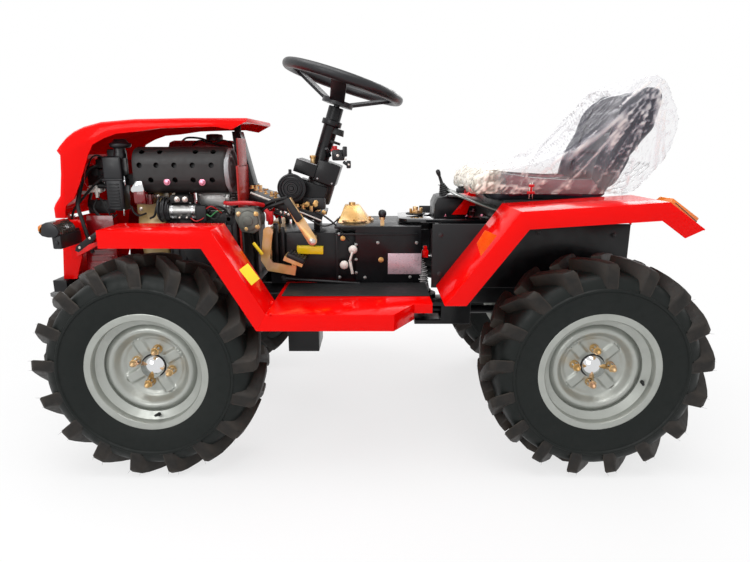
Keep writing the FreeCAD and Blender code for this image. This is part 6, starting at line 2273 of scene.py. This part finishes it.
@dataclass
class RearEnd:
    """Gear stick, console, lamps, reflectors and labels on the rear half.

    Sizes are in millimetres.
    """

    stick_foot: Point = (-238.0, 0.0, 753.0)
    stick_top: Point = (-220.0, 0.0, 803.0)

    def build(self) -> None:
        """Makes the rear end's fittings."""
        self.stick()
        self.lamps()
        self.labels()
        self.cover_bolts()

    def stick(self) -> None:
        """Pleated boot and grip of the gear stick, and the console with its brace and switch."""
        foot = Vector(self.stick_foot)
        profile = [(0, 0.01), (0, 21)]
        for k in range(6):
            rise, radius = 3 + 6.2 * k, 20 - 2.5 * k
            profile += [(rise, radius + 1.8), (rise + 3.1, radius - 1.6)]
        profile += [(40, 5.4), (62, 4.6), (66, 6.0), (74, 7.6), (82, 6.4), (85, 0.01)]
        axis = (Vector(self.stick_top) - foot).normalized()
        add_piece("gear_stick_boot", spun(profile, foot, axis, 40), SOFT_BLACK, "rear_frame",
            ("gear_stick",), sharp=60.0)
        high = Vector(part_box("console")[1]) / MM
        hull = node_form("console")
        for vert in hull.verts:
            toward_front = ease((vert.co.x - high.x + 110) / 110)
            vert.co.z -= 28 * toward_front * ease((vert.co.z - high.z + 60) / 40)
        soften(hull, 2.5, 2, above=30.0)
        add_piece("console_hull", hull, BLACK, "rear_frame", ("console",))
        brace = plate([(-251, 694), (-294, 748), (-309, 731), (-298, 694)], high.y + 0.5, high.y + 4.5, 0.8)
        add_piece("console_brace", brace, RED, "rear_frame")
        knobs = [block((-292, 58, 762), (-264, 84, 778), 4.0),
            rod((-278, 70, 776), (-278, 70, 784), 9, sides=20)]
        add_piece("console_switch", knobs, PLASTIC, "rear_frame")
        add_piece("console_switch_mark", pin(-292, 768, 84, 87, 6, sides=20), WIRE_RED, "rear_frame")

    def lamps(self) -> None:
        """Dark seams on the amber rear lamps."""
        low, high = (Vector(corner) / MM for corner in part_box("rear_lamps"))
        along = Vector((low.x, 0, low.z)) - Vector((high.x, 0, high.z))
        forms = []
        for y in (high.y - 1, high.y - 44, high.y - 92):
            start = Vector((high.x - 6, y, high.z - 4))
            forms.append(rod(start + along * 0.12, start + along * 0.86, 1.6, sides=8))
        for share in (0.3, 0.62):
            at = Vector((high.x - 6, 0, high.z - 4)) + along * share
            forms.append(rod(Vector((at.x, high.y - 92, at.z)), Vector((at.x, high.y, at.z)), 1.4, sides=8))
        add_piece("rear_lamp_seams", both_sides(forms), SMOKED, "rear_frame")

    def labels(self) -> None:
        """Blank reflectors and stickers on the fenders."""
        out = 462.2
        kite = [(-281, 702), (-312, 689), (-274, 636), (-262, 669)]
        add_piece("fender_reflectors", both_sides(plate(kite, out - 1, out + 1.2, 0.3)), ORANGE,
            "rear_frame")
        add_piece("front_fender_labels", both_sides(plate([(342, 600), (319, 617), (291, 577), (313, 559)],
            out - 1, out + 0.8, 0.2)), YELLOW)
        heads = [bolt((x, out, z), 9, 3, washer=False, domed=True) for x, z in ((262, 514), (269, 481))]
        add_piece("fender_screws", both_sides(heads), RED)

    def cover_bolts(self) -> None:
        """Bolts on the rear cover's sides."""
        high = Vector(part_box("rear_cover")[1]) / MM
        heads = [bolt((x, high.y, z), 11, 5)
            for x, z in ((-196, 540), (-196, 656), (-700, 656), (-480, 664))]
        add_piece("rear_cover_bolts", both_sides(heads), IRON, "rear_frame")


# The whole tractor

ROUNDED: dict[str, float] = {"front_fender_left": 2.2, "front_fender_right": 2.2, "footboard_left": 1.8,
    "footboard_right": 1.8, "rear_fender_left": 2.2, "rear_fender_right": 2.2, "hood": 2.4,
    "front_panel": 2.0, "firewall": 1.2, "front_chassis": 1.5, "bumper": 2.5, "rear_chassis": 1.5,
    "pivot_plate": 1.5, "gearbox": 2.5, "gear_case": 1.5, "rear_cover": 2.0, "drawbar": 1.5,
    "column_plate": 1.2, "steering_column": 2.5, "seat_base": 2.0, "hood_post": 1.0, "slope_plate": 1.0,
    "rear_lamps": 3.0, "foot_mats": 1.0, "gear_dome": 3.0, "hand_lever": 1.2}


def dress_nodes() -> None:
    """Gives every CAD node its finish, and stands rounded copies in for those with sharp edges."""
    for node, placed in frame["nodes"].items():
        placed.data.materials.clear()
        placed.data.materials.append(finish_of(node).make())
    for node, width in ROUNDED.items():
        round_over(node, width, finish_of(node))


def main() -> None:
    """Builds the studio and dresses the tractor."""
    logging.basicConfig(level=logging.INFO, format="%(message)s")
    Studio().build()
    dress_nodes()
    for end, studs, valve in ((End.FRONT, -16.0, 185.0), (End.REAR, -2.0, 254.0)):
        for side in Side:
            Wheel(end, side, studs, valve).build()
    for part in (Seat(), EngineBay(), Nose(), Column(), Controls(), Pivot(), RearEnd()):
        part.build()


if __name__ == "__main__":
    main()
